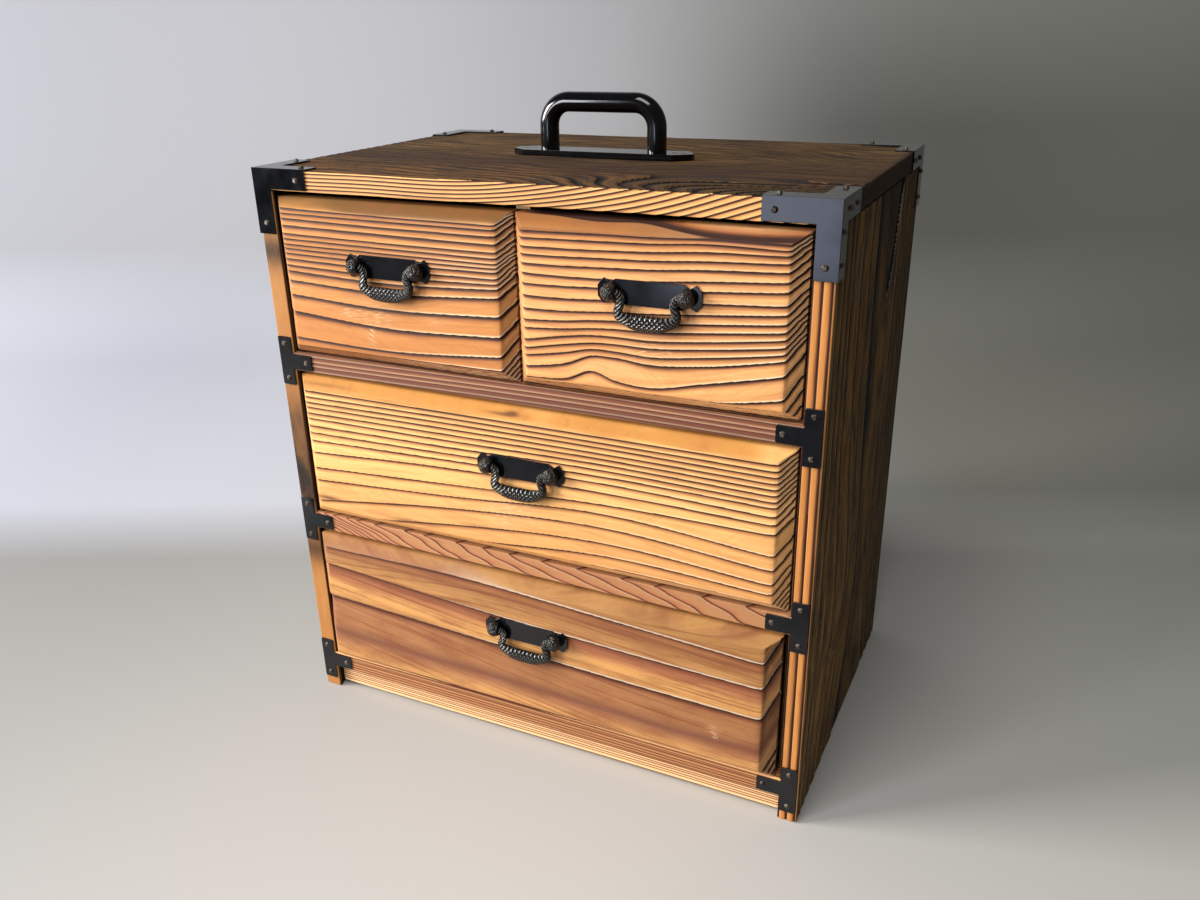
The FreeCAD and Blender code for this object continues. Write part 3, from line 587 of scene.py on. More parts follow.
upper_right_wood = brushed_cedar("upper_right_front_cedar", [
    (-1, "825327"), (-0.4, "C1823D"), (0.0, "885629"), (0.6, "E09E58"), (2.0, "ECAC68"),
    (5, "F0B06E"), (9, "ECAC6A"), (12, "E6A664"), (15, "ECAC6A"), (17, "E09E5C"),
    (19, "CE8E50")], line_mm=1.7, shade="96542A", shade_mm=2.8, mottle=0.4)
drawer_front("upper_right", (6, 37, 53, 68, 92, 125, 173), [
    (9.5, 8.9, 8.6, 8.4, 8.2, 7.2, 7.2), (13.6, 12.9, 12.6, 12.2, 11.6, 9.6, 10.0),
    (18.8, 18.4, 18.0, 17.4, 16.4, 14.0, 13.0), (23.5, 23.2, 22.6, 22.2, 21.4, 19.2, 17.2),
    (29.1, 28.8, 28.2, 27.6, 26.7, 24.2, 22.0), (35.1, 35.2, 34.9, 34.4, 33.5, 30.8, 27.6),
    (41.6, 41.2, 40.4, 39.8, 38.9, 36.6, 33.2), (49.1, 48.8, 47.9, 46.9, 45.7, 43.6, 40.8),
    (57.4, 56.6, 55.4, 54.2, 52.9, 50.2, 46.0), (64.7, 62.6, 60.7, 59.5, 58.5, 55.8, 51.4),
    (70.1, 67.6, 65.7, 64.6, 63.9, 61.0, 56.0), (77.9, 72.2, 70.1, 69.4, 69.4, 66.4, 60.4),
    (83.4, 77.4, 74.9, 74.0, 74.1, 71.0, 64.8), (88.1, 82.6, 78.9, 78.6, 79.5, 76.0, 68.9),
    (95.4, 89.6, 83.2, 82.6, 84.4, 81.4, 72.9), (103.2, 99.6, 93.0, 97.2, 99.1, 92.4, 82.0),
    (108.5, 107.6, 106.0, 106.2, 106.5, 104.6, 96.4),
    (113.0, 112.0, 112.0, 112.0, 112.0, 111.5, 106.0)],
    upper_right_wood, tilt=(0.9, 2.4), top_tilt=1.2,
    scuff=[(95, 325, 16, 7, 0.8), (70, 312, 20, 6, 0.25)])

# %% [markdown]
# ## Middle front
#
# The wide middle drawer has the palest board, almost honey. Its rings start narrow and widen
# downwards, and they sink to the left. The flame has caught a few places along its upper and lower
# bevels, and the pull has rubbed the wood round its plate. A painted mask could hold such marks;
# a few oval spots in millimetres are shorter and can be moved by hand.

# %% The middle front

middle_wood = brushed_cedar("middle_front_cedar", [
    (-1, "B97E3C"), (-0.2, "CC8E43"), (0.0, "FCC278"), (8, "FCC278"), (10, "F6B86E"),
    (12, "E4A763"), (16, "D99A59")], line_mm=1.25, shade_mm=2.6, scorch="52281A")
drawer_front("middle", (9, 123, 248, 359), [
    (9.8, 9.3, 9.0, 9.0), (14.3, 13.0, 12.8, 13.3), (18.5, 17.0, 16.3, 17.3),
    (22.3, 21.0, 20.3, 21.3), (26.8, 25.3, 24.0, 25.3), (31.0, 29.8, 27.8, 29.3),
    (36.8, 34.8, 31.8, 33.5), (42.3, 39.8, 36.3, 37.3), (48.5, 44.8, 41.3, 43.3),
    (58.0, 51.0, 47.8, 48.8), (70.5, 63.5, 56.3, 55.3), (80.5, 72.8, 63.3, 70.3),
    (97.3, 82.3, 73.5, 80.3), (112.8, 95.3, 84.8, 90.3), (122.3, 107.3, 94.3, 97.3),
    (129.8, 114.8, 103.5, 104.8), (134.0, 120.0, 109.5, 110.0)],
    middle_wood, tilt=(1.2, 2.3), worn_from=200.0, worn=0.6,
    char=[(-6, 269.6, 5, 1.4, 1.0), (-13, 268.6, 10, 1.0, 0.9), (-160, 269, 20, 1.0, 0.4),
          (-168, 179, 16, 1.9, 0.9), (-95, 174, 26, 1.8, 0.6), (-35, 182, 18, 1.4, 0.4)],
    scuff=[(-12, 200, 20, 9, 0.9), (-20, 189, 12, 5, 0.5), (-20, 212, 12, 5, 0.4)])

# %% [markdown]
# ## Lowest front
#
# The lowest board is cut flat from near the bark: it shows only a few very wide rings, and brown
# bands of different depth inside each. The rings' colours are therefore given at many fractions of
# a ring, with almost no drift, and the brush goes nearly twice as deep on its bevels. A pale chip
# shows at the right, where the edge was knocked.

# %% The lowest front

lowest_wood = brushed_cedar("lowest_front_cedar", [
    (-1.0, "A0723D"), (0.2, "A77841"), (0.8, "AD7D46"), (1.0, "905935"), (1.18, "9E6A3D"),
    (1.34, "895635"), (1.46, "A77644"), (1.9, "BC8850"), (2.0, "784229"), (2.2, "92583A"),
    (2.42, "B87A4C"), (2.56, "D09858"), (2.93, "D09858"), (3.02, "74442E"), (3.12, "A36E45"),
    (3.4, "A57045"), (3.56, "774A36"), (3.66, "A26C47"), (3.8, "CC9458"), (4.0, "CE965C"),
    (5.0, "A06C40")], line="46220F", line_mm=1.3, shade="784023", shade_mm=3.4, mottle=0.6,
    drift=0.12, streak=0.85, lip="EBD9BE")
drawer_front("lowest", (12, 157, 247, 358), [
    (-6.0, 1.0, -1.0, -6.0), (7.5, 7.7, 12.5, 19.0), (22.0, 31.3, 35.0, 38.3),
    (50.0, 56.0, 59.5, 62.0), (109.0, 109.3, 109.6, 110.0), (118.0, 118.3, 118.6, 119.0),
    (126.0, 126.3, 126.6, 127.0)],
    lowest_wood, tilt=(2.6, 3.2), top_tilt=0.75, deepest=(1.2, 4.2), worn_from=100.0,
    worn_under=8.0, ends=0.5, worn=0.7,
    scuff=[(141, 65, 3.6, 2.4, 1.5), (143, 60, 1.6, 2.6, 1.2)])

# %% [markdown]
# ## Boards of the carcass
#
# The other boards are plain boxes with worn arrises. Each gets a closed skin: a fine grid on the
# faces that show, and one flat polygon on a face that never does. Every point is pulled onto a
# rounded box and then cut inward where the brush went. The ring number comes from a solid
# function of place, so the lines run round the arris from one face to the next as in real timber.

# %% A skin round a box


def box_skin(lines, flat):
    """Points and faces of a box with a grid on each face. flat names (axis, side) left coarse."""
    points, faces = [], []
    start = 0
    for axis in range(3):
        u, v = (axis + 1) % 3, (axis + 2) % 3
        for side in (0, -1):
            a, b = lines[u], lines[v]
            if (axis, side) in flat:
                across = np.concatenate([a, np.full(len(b) - 1, a[-1]), a[-2::-1],
                                         np.full(len(b) - 2, a[0])])
                up = np.concatenate([np.full(len(a), b[0]), b[1:], np.full(len(a) - 1, b[-1]),
                                     b[-2:0:-1]])
                face = [list(range(start, start + len(across)))]
            else:
                across, up = (g.ravel() for g in np.meshgrid(a, b))
                face = [[start + k for k in quad[::-1]] for quad in grid_faces(len(a), len(b))]
            face = face if side == -1 else [quad[::-1] for quad in face]
            spots = np.zeros((len(across), 3))
            spots[:, u], spots[:, v], spots[:, axis] = across, up, lines[axis][side]
            points.append(spots)
            faces += face
            start += len(across)
    # Points that two faces share along an edge become one, which closes the skin.
    points, where = np.unique(np.round(np.concatenate(points), 4), axis=0, return_inverse=True)
    where = where.ravel()
    return points, [where[face].tolist() for face in faces]


print("a skin round 3 by 3 by 3 points has", len(box_skin([np.arange(3.0)] * 3, ())[1]), "faces")

# %% [markdown]
# ## A brushed board
#
# The brush cuts square to each face of a board, so each point moves straight inward, by a depth
# that follows from its ring number. How wide the rings are need not be written down for these
# boards: how fast the ring number changes along the face says it.

# %% A brushed board

WIDEST_RING, THINNEST_RING = 30, 1.2


def ring_width(grain, points, ring, outward):
    """Width of the rings in mm as each face shows them, from how fast their number changes."""
    nudge = 0.2
    slope = np.stack([(grain(points + nudge * np.eye(3)[i]) - ring) / nudge for i in range(3)], 1)
    slope -= outward * (slope * outward).sum(1)[:, None]
    return np.clip(1 / np.maximum(np.linalg.norm(slope, axis=1), 1e-3), THINNEST_RING,
                   WIDEST_RING)


def brushed_board(node, grain, length_axis, material, steps, arris=0.9, deepest=0.5, flat=(),
                  worn=0.1, char=None):
    """Replaces a board's solid by a brushed skin. grain gives ring numbers from points in mm."""
    low, high = box_mm(node)
    lines = [spread(low[i], high[i], steps[i], arris, arris * 0.4) for i in range(3)]
    points, faces = box_skin(lines, flat)
    core = np.clip(points, low + arris, high - arris)
    outward = points - core
    outward /= np.maximum(np.linalg.norm(outward, axis=1), 1e-6)[:, None]
    points = core + outward * arris
    ring = grain(points)
    gap = ring_width(grain, points, ring, outward)
    scorch = np.zeros(len(points)) if char is None else char(points)
    points = points - outward * ledge_depth(ring, gap, deepest)[:, None]
    values = {"ring": ring, "gap": gap, "along": points[:, length_axis],
              "worn": np.full(len(points), worn), "char": scorch, "scuff": np.zeros(len(points))}
    piece = mesh_from(f"{node}_skin", points, faces, values, material)
    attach(piece, "carcass")
    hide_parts(node)
    print(piece.name, len(points), "points")
    return piece


FRONT = box_mm("top_board")[0][1]
TOP = box_mm("top_board")[1][2]
print("the boards' front edges lie at", round(FRONT, 1), "mm and the top at", round(TOP, 1), "mm")

# %% [markdown]
# ## Rails and kick board
#
# The rails are sawn from different planks. The base rail and the kick board are quarter-sawn, with
# straight close lines, and a list of their distances below the top edge is enough. The upper rail
# is reddish heartwood with a few faint lines. They all show their rings on the underside as well,
# so the ring number also counts the way back from the front.

# %% Straight-grained rails

X, Y, Z = 0, 1, 2
RAIL_STEPS = (1.6, 3.0, 0.4)
HIDDEN_BACK = ((Y, -1),)
RING_BEYOND = 3.0


def straight_grain(node, downs, sway=0.5, tilt=0.75):
    """Lines along a board at these distances below its top, with a slow sway."""
    top = box_mm(node)[1][2]
    levels = np.array(downs, float)

    def grain(p):
        down = top - p[:, 2] + tilt * (p[:, 1] - FRONT) + sway * np.sin(p[:, 0] / 70 + top)
        inside = np.interp(down, levels, np.arange(len(levels)))
        before = np.minimum(down - levels[0], 0) / RING_BEYOND
        after = np.maximum(down - levels[-1], 0) / RING_BEYOND
        return inside + before + after
    return grain


honey_rail = brushed_cedar("honey_rail_cedar", [(0, "F4B878"), (3, "EAAA6A"), (7, "F0B474")],
                           line="6A3820", line_mm=0.9, mottle=0.3)
brushed_board("base_rail", straight_grain("base_rail", (0.9, 3.4, 4.9, 7.6, 9.9, 12.2, 14.0)), X,
              honey_rail, RAIL_STEPS, flat=HIDDEN_BACK)
kick_cedar = brushed_cedar("kick_board_cedar", [(0, "FFCE96"), (11, "FFD29A")], line_mm=0.8,
                           line="6A3A20", shade="D8965E", shade_mm=1.0)
kick_lines = (0.8, 2.7, 5.0, 6.6, 9.0, 11.1, 12.7, 15.0, 16.9)
brushed_board("kick_board", straight_grain("kick_board", kick_lines, sway=0.3), X, kick_cedar,
              RAIL_STEPS, flat=HIDDEN_BACK, deepest=0.2)
red_rail = brushed_cedar("red_rail_cedar", [
    (0, "845234"), (0.6, "955E3A"), (1.3, "9C6643"), (2.0, "845236"), (2.6, "6C3F2D"),
    (4, "522E23")], line="54302A", shade="6C3A28", shade_mm=3.0, line_mm=0.5, mottle=0.5,
    streak=0.5)
brushed_board("upper_rail", straight_grain("upper_rail", (1.5, 5.4, 8.6, 12.6), sway=0.9), X,
              red_rail, RAIL_STEPS, flat=HIDDEN_BACK, worn=0.25, deepest=0.7)

# %% [markdown]
# ## Lower rail
#
# The lower rail is cut across a bent stem, so its lines slant over it like flames. Here the lines
# are places along the rail, and a lean carries each one to the right as it goes down.

# %% Flame-grained rail

FLAMES = np.array([-186, -176, -168, -159, -146, -136, -118, -90, -74, -48, -26, -4, 24, 52, 84,
                   106, 140, 172, 200], float)
FLAME_LEAN = 3.0
FLAME_RING_BEYOND = 12


def flame_grain(p):
    """Lines that slant across the lower rail, closest together at its left end."""
    top = box_mm("lower_rail")[1][2]
    down = top - p[:, 2]
    lean = FLAME_LEAN + 0.8 * np.sin(p[:, 0] / 37)
    place = (p[:, 0] - lean * down + 1.6 * np.sin(down * 0.6 + p[:, 0] / 23)
             - 0.8 * (p[:, 1] - FRONT) + 14)
    return (np.interp(place, FLAMES, np.arange(len(FLAMES)))
            + np.minimum(place - FLAMES[0], 0) / FLAME_RING_BEYOND)


flame_rail = brushed_cedar("flame_rail_cedar", [(-1, "BA8756"), (9, "B68357"), (19, "B27F54")],
                           line="6E3820", shade="B0704C", shade_mm=4.0, line_mm=1.1)
brushed_board("lower_rail", flame_grain, X, flame_rail, RAIL_STEPS, flat=HIDDEN_BACK)

# %% [markdown]
# ## Top board
#
# The top board is sawn along the rings. Its front edge shows them close together, lifting towards
# the right where the board was cut near a branch, and its face shows them as wide flowing bands
# round that branch. One function of place gives both, so a line on the edge goes on over the face.

# %% Grain of the top board

BRANCH = (172, 172)
BAND_WIDTH = 21


def top_grain(p):
    """Ring numbers in the top board: edge lines that lift to the right, bands and a swirl."""
    x, y, z = p.T
    behind = y - FRONT
    down = TOP - z
    # On the edge the lines are 2.5 mm apart, 3.9 mm at the right, and lift beyond x = 28 mm.
    pitch = 2.5 + 1.4 / (1 + np.exp(-(x - 60) / 25))
    lift = 0.085 * 22 * np.log1p(np.exp((x - 28) / 22)) + 0.003 * (x + 150)
    # On the face they run as wavy bands and swirl round the branch.
    swirl = 2.6 * np.exp(-((x - BRANCH[0]) ** 2 / 62**2 + (behind - BRANCH[1]) ** 2 / 50**2))
    bands = (behind / BAND_WIDTH + 0.5 * np.sin(x / 60 + behind / 45)
             + 0.16 * np.sin(x / 23 - behind / 14))
    return (down / pitch + lift * np.exp(-(behind / 42) ** 2) + 1.5 * swirl + bands * 1.8
            + 0.5 * np.sin(x / 33) * np.exp(-((behind - 130) / 60) ** 2))


edge_places = np.array([[x, FRONT, TOP] for x in (-150.0, 0.0, 150.0)])
print("rings met at the front edge, left to right:", np.round(top_grain(edge_places), 1).tolist())

# %% [markdown]
# ## Scorch marks of the top board
#
# The fire went deep along a band and in five long patches, and the end grain burnt darkest. A row
# of pin knots runs in front of the band. A noise would put such marks anywhere. Here they are
# oval spots and soft bands, in millimetres behind the front edge, and they count only on the upper
# face and the ends.

# %% Scorch marks of the top board

PIN_KNOTS = [(x, 57 + 0.02 * x, 2.6, 4.5, 0.85)
             for x in (-147, -100, -65, -36, -16, -1, 12, 30, 50, 78)]
TOP_SCORCH = [(105, 62, 62, 8, 0.55), (30, 118, 80, 6, 0.45), (150, 172, 45, 8, 0.5),
              (-95, 60, 60, 7, 0.4), (-30, 190, 90, 6, 0.35)]
DARK_BAND, DARK_BAND_WIDTH = 88, 22
DARKEST = 0.95


def top_char(p):
    """How scorched each point of the top board is, from 0 to 1."""
    x, y, z = p.T
    behind = y - FRONT
    band = 0.55 * np.exp(-((behind - DARK_BAND + 8 * np.sin(x / 50)) / DARK_BAND_WIDTH) ** 2)
    back = 0.15 * np.clip((behind - 120) / 120, 0, 1)
    ends = 0.8 * np.clip((np.abs(x) - 194) / 5, 0, 1)
    pins = spots_at(x, behind + 4 * np.sin(x / 31), PIN_KNOTS + TOP_SCORCH)
    on_top = np.clip(1 - (TOP - z) / 3, 0, 1)
    return np.clip((band + back + pins) * on_top + ends, 0, DARKEST)


print(len(PIN_KNOTS), "pin knots and", len(TOP_SCORCH), "scorched patches")

# %% [markdown]
# ## Two finishes on one board
#
# The front edge of the top board is fresh honey-coloured cedar, rubbed by hands. Its face has aged
# to a dull brown and is rougher, because dust and smoke sit in the open fibres: roughness 0.75 to
# 0.9. Two meshes could carry the two finishes, but a seam would show along the arris. So the skin
# is one mesh with two materials, and each polygon takes one by where it lies.

# %% Skin of the top board

EDGE_REACH = 1.6


def face_finish(skin, material, is_edge):
    """Gives a skin a second material on every polygon that is_edge doesn't claim."""
    skin.data.materials.append(material)
    for polygon in skin.data.polygons:
        near_front = polygon.center.y < (FRONT + EDGE_REACH) * MM
        polygon.material_index = int(not (near_front and is_edge(polygon.normal)))
    print(skin.name, "has a second finish,", material.name)


top_wood = brushed_cedar("top_edge_cedar", [(-2, "FFC678"), (6, "FCC074"), (20, "F8B86E")],
                         line_mm=1.3, shade="B4703A", shade_mm=2.0, mottle=0.25)
top_face = brushed_cedar("top_face_cedar", [
    (-2, "865A2C"), (4, "765026"), (8, "5A3C1A"), (14, "7C5C2E"), (20, "6E5028"),
    (30, "5E4422")], line="0C0602", line_mm=3.6, shade="24160A", shade_mm=4.0, mottle=1.3,
    streak=0.6, lip="A67C4A", rough=(0.75, 0.9))
top_skin = brushed_board("top_board", top_grain, X, top_wood, (2.2, 0.9, 0.42), arris=1.2,
                         deepest=0.8, flat=((Z, 0), (Y, -1)), char=top_char)
face_finish(top_skin, top_face, lambda normal: normal.z < 0.75)

# %% [markdown]
# ## Side boards
#
# The sides are the most deeply scorched boards, nearly black-brown. Their lines are written at
# stations down their height, in millimetres behind the front edge. On the right side one ring
# wanders back and another bends round a hollow, and near the top the saw met a ring twice and
# left a hanging arch. The arch is one ring more inside a parabola: added to the ring number, it
# bends all the lines near it as well.

# %% Lines of the side boards

SIDE_STATIONS = (0, 50, 100, 150, 200, 250, 300, 350, 418)
RIGHT_LINES = [(6, 6, 6, 6, 6, 5, 5, 4, 3), (20, 20, 20, 21, 22, 22, 20, 16, 12),
               (32, 32, 33, 34, 37, 42, 40, 30, 22), (44, 43, 44, 47, 53, 63, 66, 52, 36),
               (70, 68, 71, 73, 83, 97, 98, 72, 50), (94, 93, 95, 97, 102, 110, 110, 90, 70),
               (112, 113, 115, 118, 125, 134, 137, 126, 100),
               (197, 197, 197, 195, 180, 182, 189, 189, 203),
               (213, 213, 213, 214, 212, 212, 214, 213, 218),
               (230, 231, 231, 230, 229, 230, 232, 231, 234),
               (250, 250, 249, 250, 251, 250, 249, 250, 252)]
LEFT_LINES = [(12, 14, 18, 16, 12, 10, 13, 15, 14), (33, 38, 44, 40, 33, 29, 33, 38, 36),
              (52, 60, 70, 66, 55, 48, 53, 61, 58), (80, 90, 99, 95, 84, 75, 80, 90, 86),
              (120, 128, 136, 133, 121, 110, 117, 128, 122),
              (165, 171, 176, 172, 160, 150, 158, 168, 160),
              (200, 204, 207, 204, 196, 189, 194, 202, 196),
              (228, 231, 232, 229, 223, 220, 223, 228, 225),
              (250, 252, 252, 250, 247, 245, 247, 250, 248)]
SIDE_DEPTH = 262
ARCH_FOOT, ARCH_MIDDLE, ARCH_SPREAD, ARCH_SOFTNESS = 336, 163, 8.2, 14


def inside_arch(behind, z):
    """From 0 outside the hanging arch to 1 inside it."""
    inside = (z - ARCH_FOOT - (behind - ARCH_MIDDLE) ** 2 / ARCH_SPREAD) / ARCH_SOFTNESS
    return 1 / (1 + np.exp(-np.clip(inside, -30, 30)))


def side_grain(lines, sign, deep_pitch, arch):
    """Ring numbers of a side board; arch adds the twice-cut ring near the top."""
    edge = box_mm("right_side")[1][0]

    def grain(p):
        x, y, z = p.T
        behind = y - FRONT
        ripple = 1.2 * np.sin(z / 17 + behind / 9) + 0.8 * np.sin(z / 41 + behind / 30)
        place = behind + ripple * behind / SIDE_DEPTH
        ring = count_rings(SIDE_STATIONS, lines, TOP - z, place)[0]
        return ring + arch * inside_arch(behind, z) + (edge - sign * x) / deep_pitch
    return grain


print(len(RIGHT_LINES), "lines on the right side and", len(LEFT_LINES), "on the left")

# %% [markdown]
# ## Scorch marks of the sides
#
# The left board's front edge is burnt black in four stretches, where the flame licked round it.
# On the right board the wood inside the hanging arch is burnt black.

# %% Scorch marks of the sides

LEFT_BURNS = [(0, 128, 1, 14, 0.8), (0, 190, 1, 26, 1.5), (0, 235, 1, 26, 0.7),
              (0, 362, 1, 12, 1.0)]
BURN_REACH = 6
ARCH_BURN = 0.85


def left_char(p):
    """How scorched the left side is: four stretches of its front edge."""
    burnt = spots_at(np.zeros(len(p)), p[:, 2], LEFT_BURNS)
    return burnt * np.clip(1 - (p[:, 1] - FRONT) / BURN_REACH, 0, 1)


def right_char(p):
    """How scorched the right side is: the inside of its arch."""
    return ARCH_BURN * inside_arch(p[:, 1] - FRONT, p[:, 2])


print(len(LEFT_BURNS), "burnt stretches on the left front edge")

# %% [markdown]
# ## Skins of the sides
#
# The broad faces are charred and brushed: the hollows below the hard lines are black from soot and
# from painted shade, and the greyish lips above the lines are a painted reflection of the room.
# Charred wood throws back very little light, so their roughness is 0.8 to 0.95. The front edges
# were planed after the fire and stay pale.

# %% Skins of the sides

left_edge = brushed_cedar("left_edge_cedar", [(-1, "B47C40"), (4, "A87038")], line_mm=1.5,
                          scorch="22140B")
right_edge = brushed_cedar("right_edge_cedar", [(-1, "E79B52"), (4, "DA914C")], line_mm=2.1,
                           shade_mm=1.8, lip="D6904C")
# One timber: the shaded right side gets paler bands than the lit left side, which is painted
# light.
right_wood = brushed_cedar("right_side_cedar", [
    (-1, "A67A3C"), (4, "946A32"), (8, "765628"), (12, "604820")], line="060403",
    shade="1A0F06", shade_mm=7.0, line_mm=3.6, mottle=0.95, streak=0.9, lip="A49C90",
    scorch="14100C", rough=(0.8, 0.95))
left_wood = brushed_cedar("left_side_cedar", [(-1, "5E421E"), (4, "50381A"), (9, "443016")],
                          line="060403", shade="241608", shade_mm=8.0, line_mm=2.8, mottle=0.8,
                          streak=0.7, lip="7C6A50", rough=(0.8, 0.95))
for side, sign, lines, deep_pitch, arch, char, edge_wood, face_wood in (
        ("left", -1, LEFT_LINES, 60.0, 0.0, left_char, left_edge, left_wood),
        ("right", 1, RIGHT_LINES, 5.6, 1.0, right_char, right_edge, right_wood)):
    inner_face = (X, -1) if sign < 0 else (X, 0)
    side_skin = brushed_board(
        f"{side}_side", side_grain(lines, sign, deep_pitch, arch), Z, edge_wood,
        (0.6, 0.8, 1.3), arris=1.0, deepest=1.1, flat=(inner_face, (Z, -1)), worn=0.5, char=char)
    face_finish(side_skin, face_wood, lambda normal: normal.y < -0.5)

# %% [markdown]
# ## Inner boards
#
# Shelves, back panel and drawer boxes are of the same timber, planed and left pale. Nothing was
# brushed there, so the solids stay as they are and only get a fine straight grain, drawn along
# each board's longest side. Planed cedar is silky but not polished: roughness 0.6, and an IOR of
# 1.5 like any wood. Its grain lines are 2.5 mm apart and run on for 120 mm.

# %% Planed cedar

PLANED_LINE_MM, PLANED_RUN_MM = 2.5, 120


def planed_cedar(name, along_axis):
    """Pale planed cedar with straight grain along one axis of the frame."""
    material, tree = new_material(name)
    place = add(tree, "TexCoord").outputs["Object"]
    stretch = [1 / (PLANED_LINE_MM * MM)] * 3
    stretch[along_axis] = 1 / (PLANED_RUN_MM * MM)
    stretched = add(tree, "Mapping", {"Vector": place, "Scale": stretch})
    grain = add(tree, "TexNoise", {"Vector": stretched, "Scale": 1.0, "Detail": 4.0,
                                   "Roughness": 0.6})
    wood = add(tree, "ValToRGB", (grain,), [(0.3, "C79F6C"), (0.5, "D3AE7C"), (0.7, "B98D5A")])
    shader = add(tree, "BsdfPrincipled", {"Base Color": wood, "Roughness": 0.6, "IOR": 1.5})
    add(tree, "OutputMaterial", {"Surface": shader})
    print("material", name)
    return material


along_x = planed_cedar("planed_cedar_along_x", X)
along_y = planed_cedar("planed_cedar_along_y", Y)

# %% [markdown]
# ## Finish a solid
#
# No real edge is perfectly sharp: a board's is taken off with a stroke of the plane, an iron
# plate's with a file. A narrow bevel catches a line of light along it. A shader can fake that,
# but the outline would stay sharp, so modifiers cut it into the mesh. The solid's triangles are
# first joined into flat faces, so that the bevel finds only the true edges.

# %% Finish a solid

WELD_MM = 0.005


def finish_solid(node, material, arris_mm=0.0):
    """Gives a solid its material and, if asked, a small rounded edge."""
    solid = solids[node]
    solid.data.materials.clear()
    solid.data.materials.append(material)
    if arris_mm:
        weld = solid.modifiers.new("weld", "WELD")
        weld.merge_threshold = WELD_MM * MM
        flat = solid.modifiers.new("flat faces", "DECIMATE")
        flat.decimate_type = "DISSOLVE"
        flat.angle_limit = math.radians(2)
        bevel = solid.modifiers.new("worn edge", "BEVEL")
        bevel.width = arris_mm * MM
        bevel.segments = 2
        bevel.limit_method = "ANGLE"
        bevel.angle_limit = math.radians(35)
        bevel.harden_normals = True


for node in ("bottom_board", "lower_shelf", "upper_shelf", "back_panel"):
    finish_solid(node, along_x)
finish_solid("divider", along_y)
for drawer in ("upper_left", "upper_right", "middle", "lowest"):
    finish_solid(f"{drawer}_drawer_back", along_x, 0.5)
    finish_solid(f"{drawer}_drawer_bottom", along_x, 0.3)
    for side in ("left", "right"):
        finish_solid(f"{drawer}_drawer_{side}_side", along_y, 0.5)
print("5 inner boards and 16 drawer boards are planed")

# %% [markdown]
# ## Iron
#
# The straps and plates are sheet iron, heated and blackened in oil. What the eye meets is the
# smooth film of burnt oil, not bare metal, so the material is no metal to the shader: a nearly
# black film with the usual IOR of 1.5 and a clear, slightly soft sheen, roughness 0.11 to 0.17.
# The bar handle and its base are steel in black gloss enamel, smoother still at 0.09 to 0.13,
# which shows long clear highlights. The posts of the pulls are cast iron with the same black over
# a coarser skin, 0.2 to 0.28. Nails and screws are worn bare: real metal, duller and brownish.
#
# A metallic material in a dark colour would be the other way, but it tints and dims what it
# reflects, and the clear gleam would be lost. A soft cloud 14 mm wide varies the tone and the
# sheen, as handling does. Finer grit stands for the sheet's slight unevenness: 1.2 mm wide and
# only a few thousandths of a millimetre high. The posts' lumps are drawn far stronger than real
# ones, or they would not show on a thing so small.

# %% Iron finishes

CLOUD_MM = 14


def iron(name, colour, worn, rough, grit_mm, bump_mm, metallic=0.0):
    """Dark iron whose colour and roughness vary softly, with bumps grit_mm wide on it."""
    material, tree = new_material(name)
    place = add(tree, "TexCoord").outputs["Object"]
    cloud = add(tree, "TexNoise", {"Vector": place, "Scale": 1 / (CLOUD_MM * MM), "Detail": 4.0,
                                   "Roughness": 0.55})
    grit = add(tree, "TexNoise", {"Vector": place, "Scale": 1 / (grit_mm * MM), "Detail": 3.0})
    tone = add(tree, "ValToRGB", (cloud,), [(0.4, colour), (0.75, worn)])
    sheen = add(tree, "MapRange", {"Value": cloud, "From Min": 0.3, "From Max": 0.7,
                                   "To Min": rough[0], "To Max": rough[1]})
    dents = add(tree, "Bump", {"Height": grit, "Strength": 1.0, "Distance": bump_mm * MM})
    shader = add(tree, "BsdfPrincipled", {"Base Color": tone, "Roughness": sheen,
                                          "Metallic": metallic, "Normal": dents})
    add(tree, "OutputMaterial", {"Surface": shader})
    print("material", name)
    return material


blackened_sheet = iron("blackened_sheet_iron", "06070A", "0F1116", (0.11, 0.17), 1.2, 0.005)
nail_metal = iron("worn_nail_iron", "4A423A", "8A8176", (0.4, 0.55), 0.5, 0.03, metallic=1.0)
screw_metal = iron("screw_steel", "5A5650", "8A867E", (0.3, 0.45), 0.5, 0.02, metallic=1.0)
enamel = iron("black_gloss_enamel", "030304", "060607", (0.09, 0.13), 2.0, 0.002)
post_iron = iron("black_cast_iron", "050505", "1C1B18", (0.2, 0.28), 2.0, 2.5)

# %% [markdown]
# ## Cast pulls
#
# The middle of each bail is cast with rows of small scales and the parts beside it with slanting
# ribs, and the tops of their ridges are painted pale as a painted glint. Two waves that cross make
# the scales and a third the ribs.
# Relief this shallow shows only in its shading, so it is a bump and not modelled. Its height is
# written over the bail's own box in millimetres, so it follows the bail when it swings. The scales
# are drawn 3.2 mm wide, about twice the real ones, so that they still show from a step away.
# Casting leaves the iron rougher than the sheet: roughness 0.24.

# %% Cast iron with scales and ribs

SCALE_MM, RIB_MM, RIB_SLANT = 3.2, 2.6, 0.8
MIDDLE_REACH, SHOULDER_REACH = 11.0, 19.5
CAST_HEIGHT_MM, CAST_GRIT_MM = 0.7, 1.25


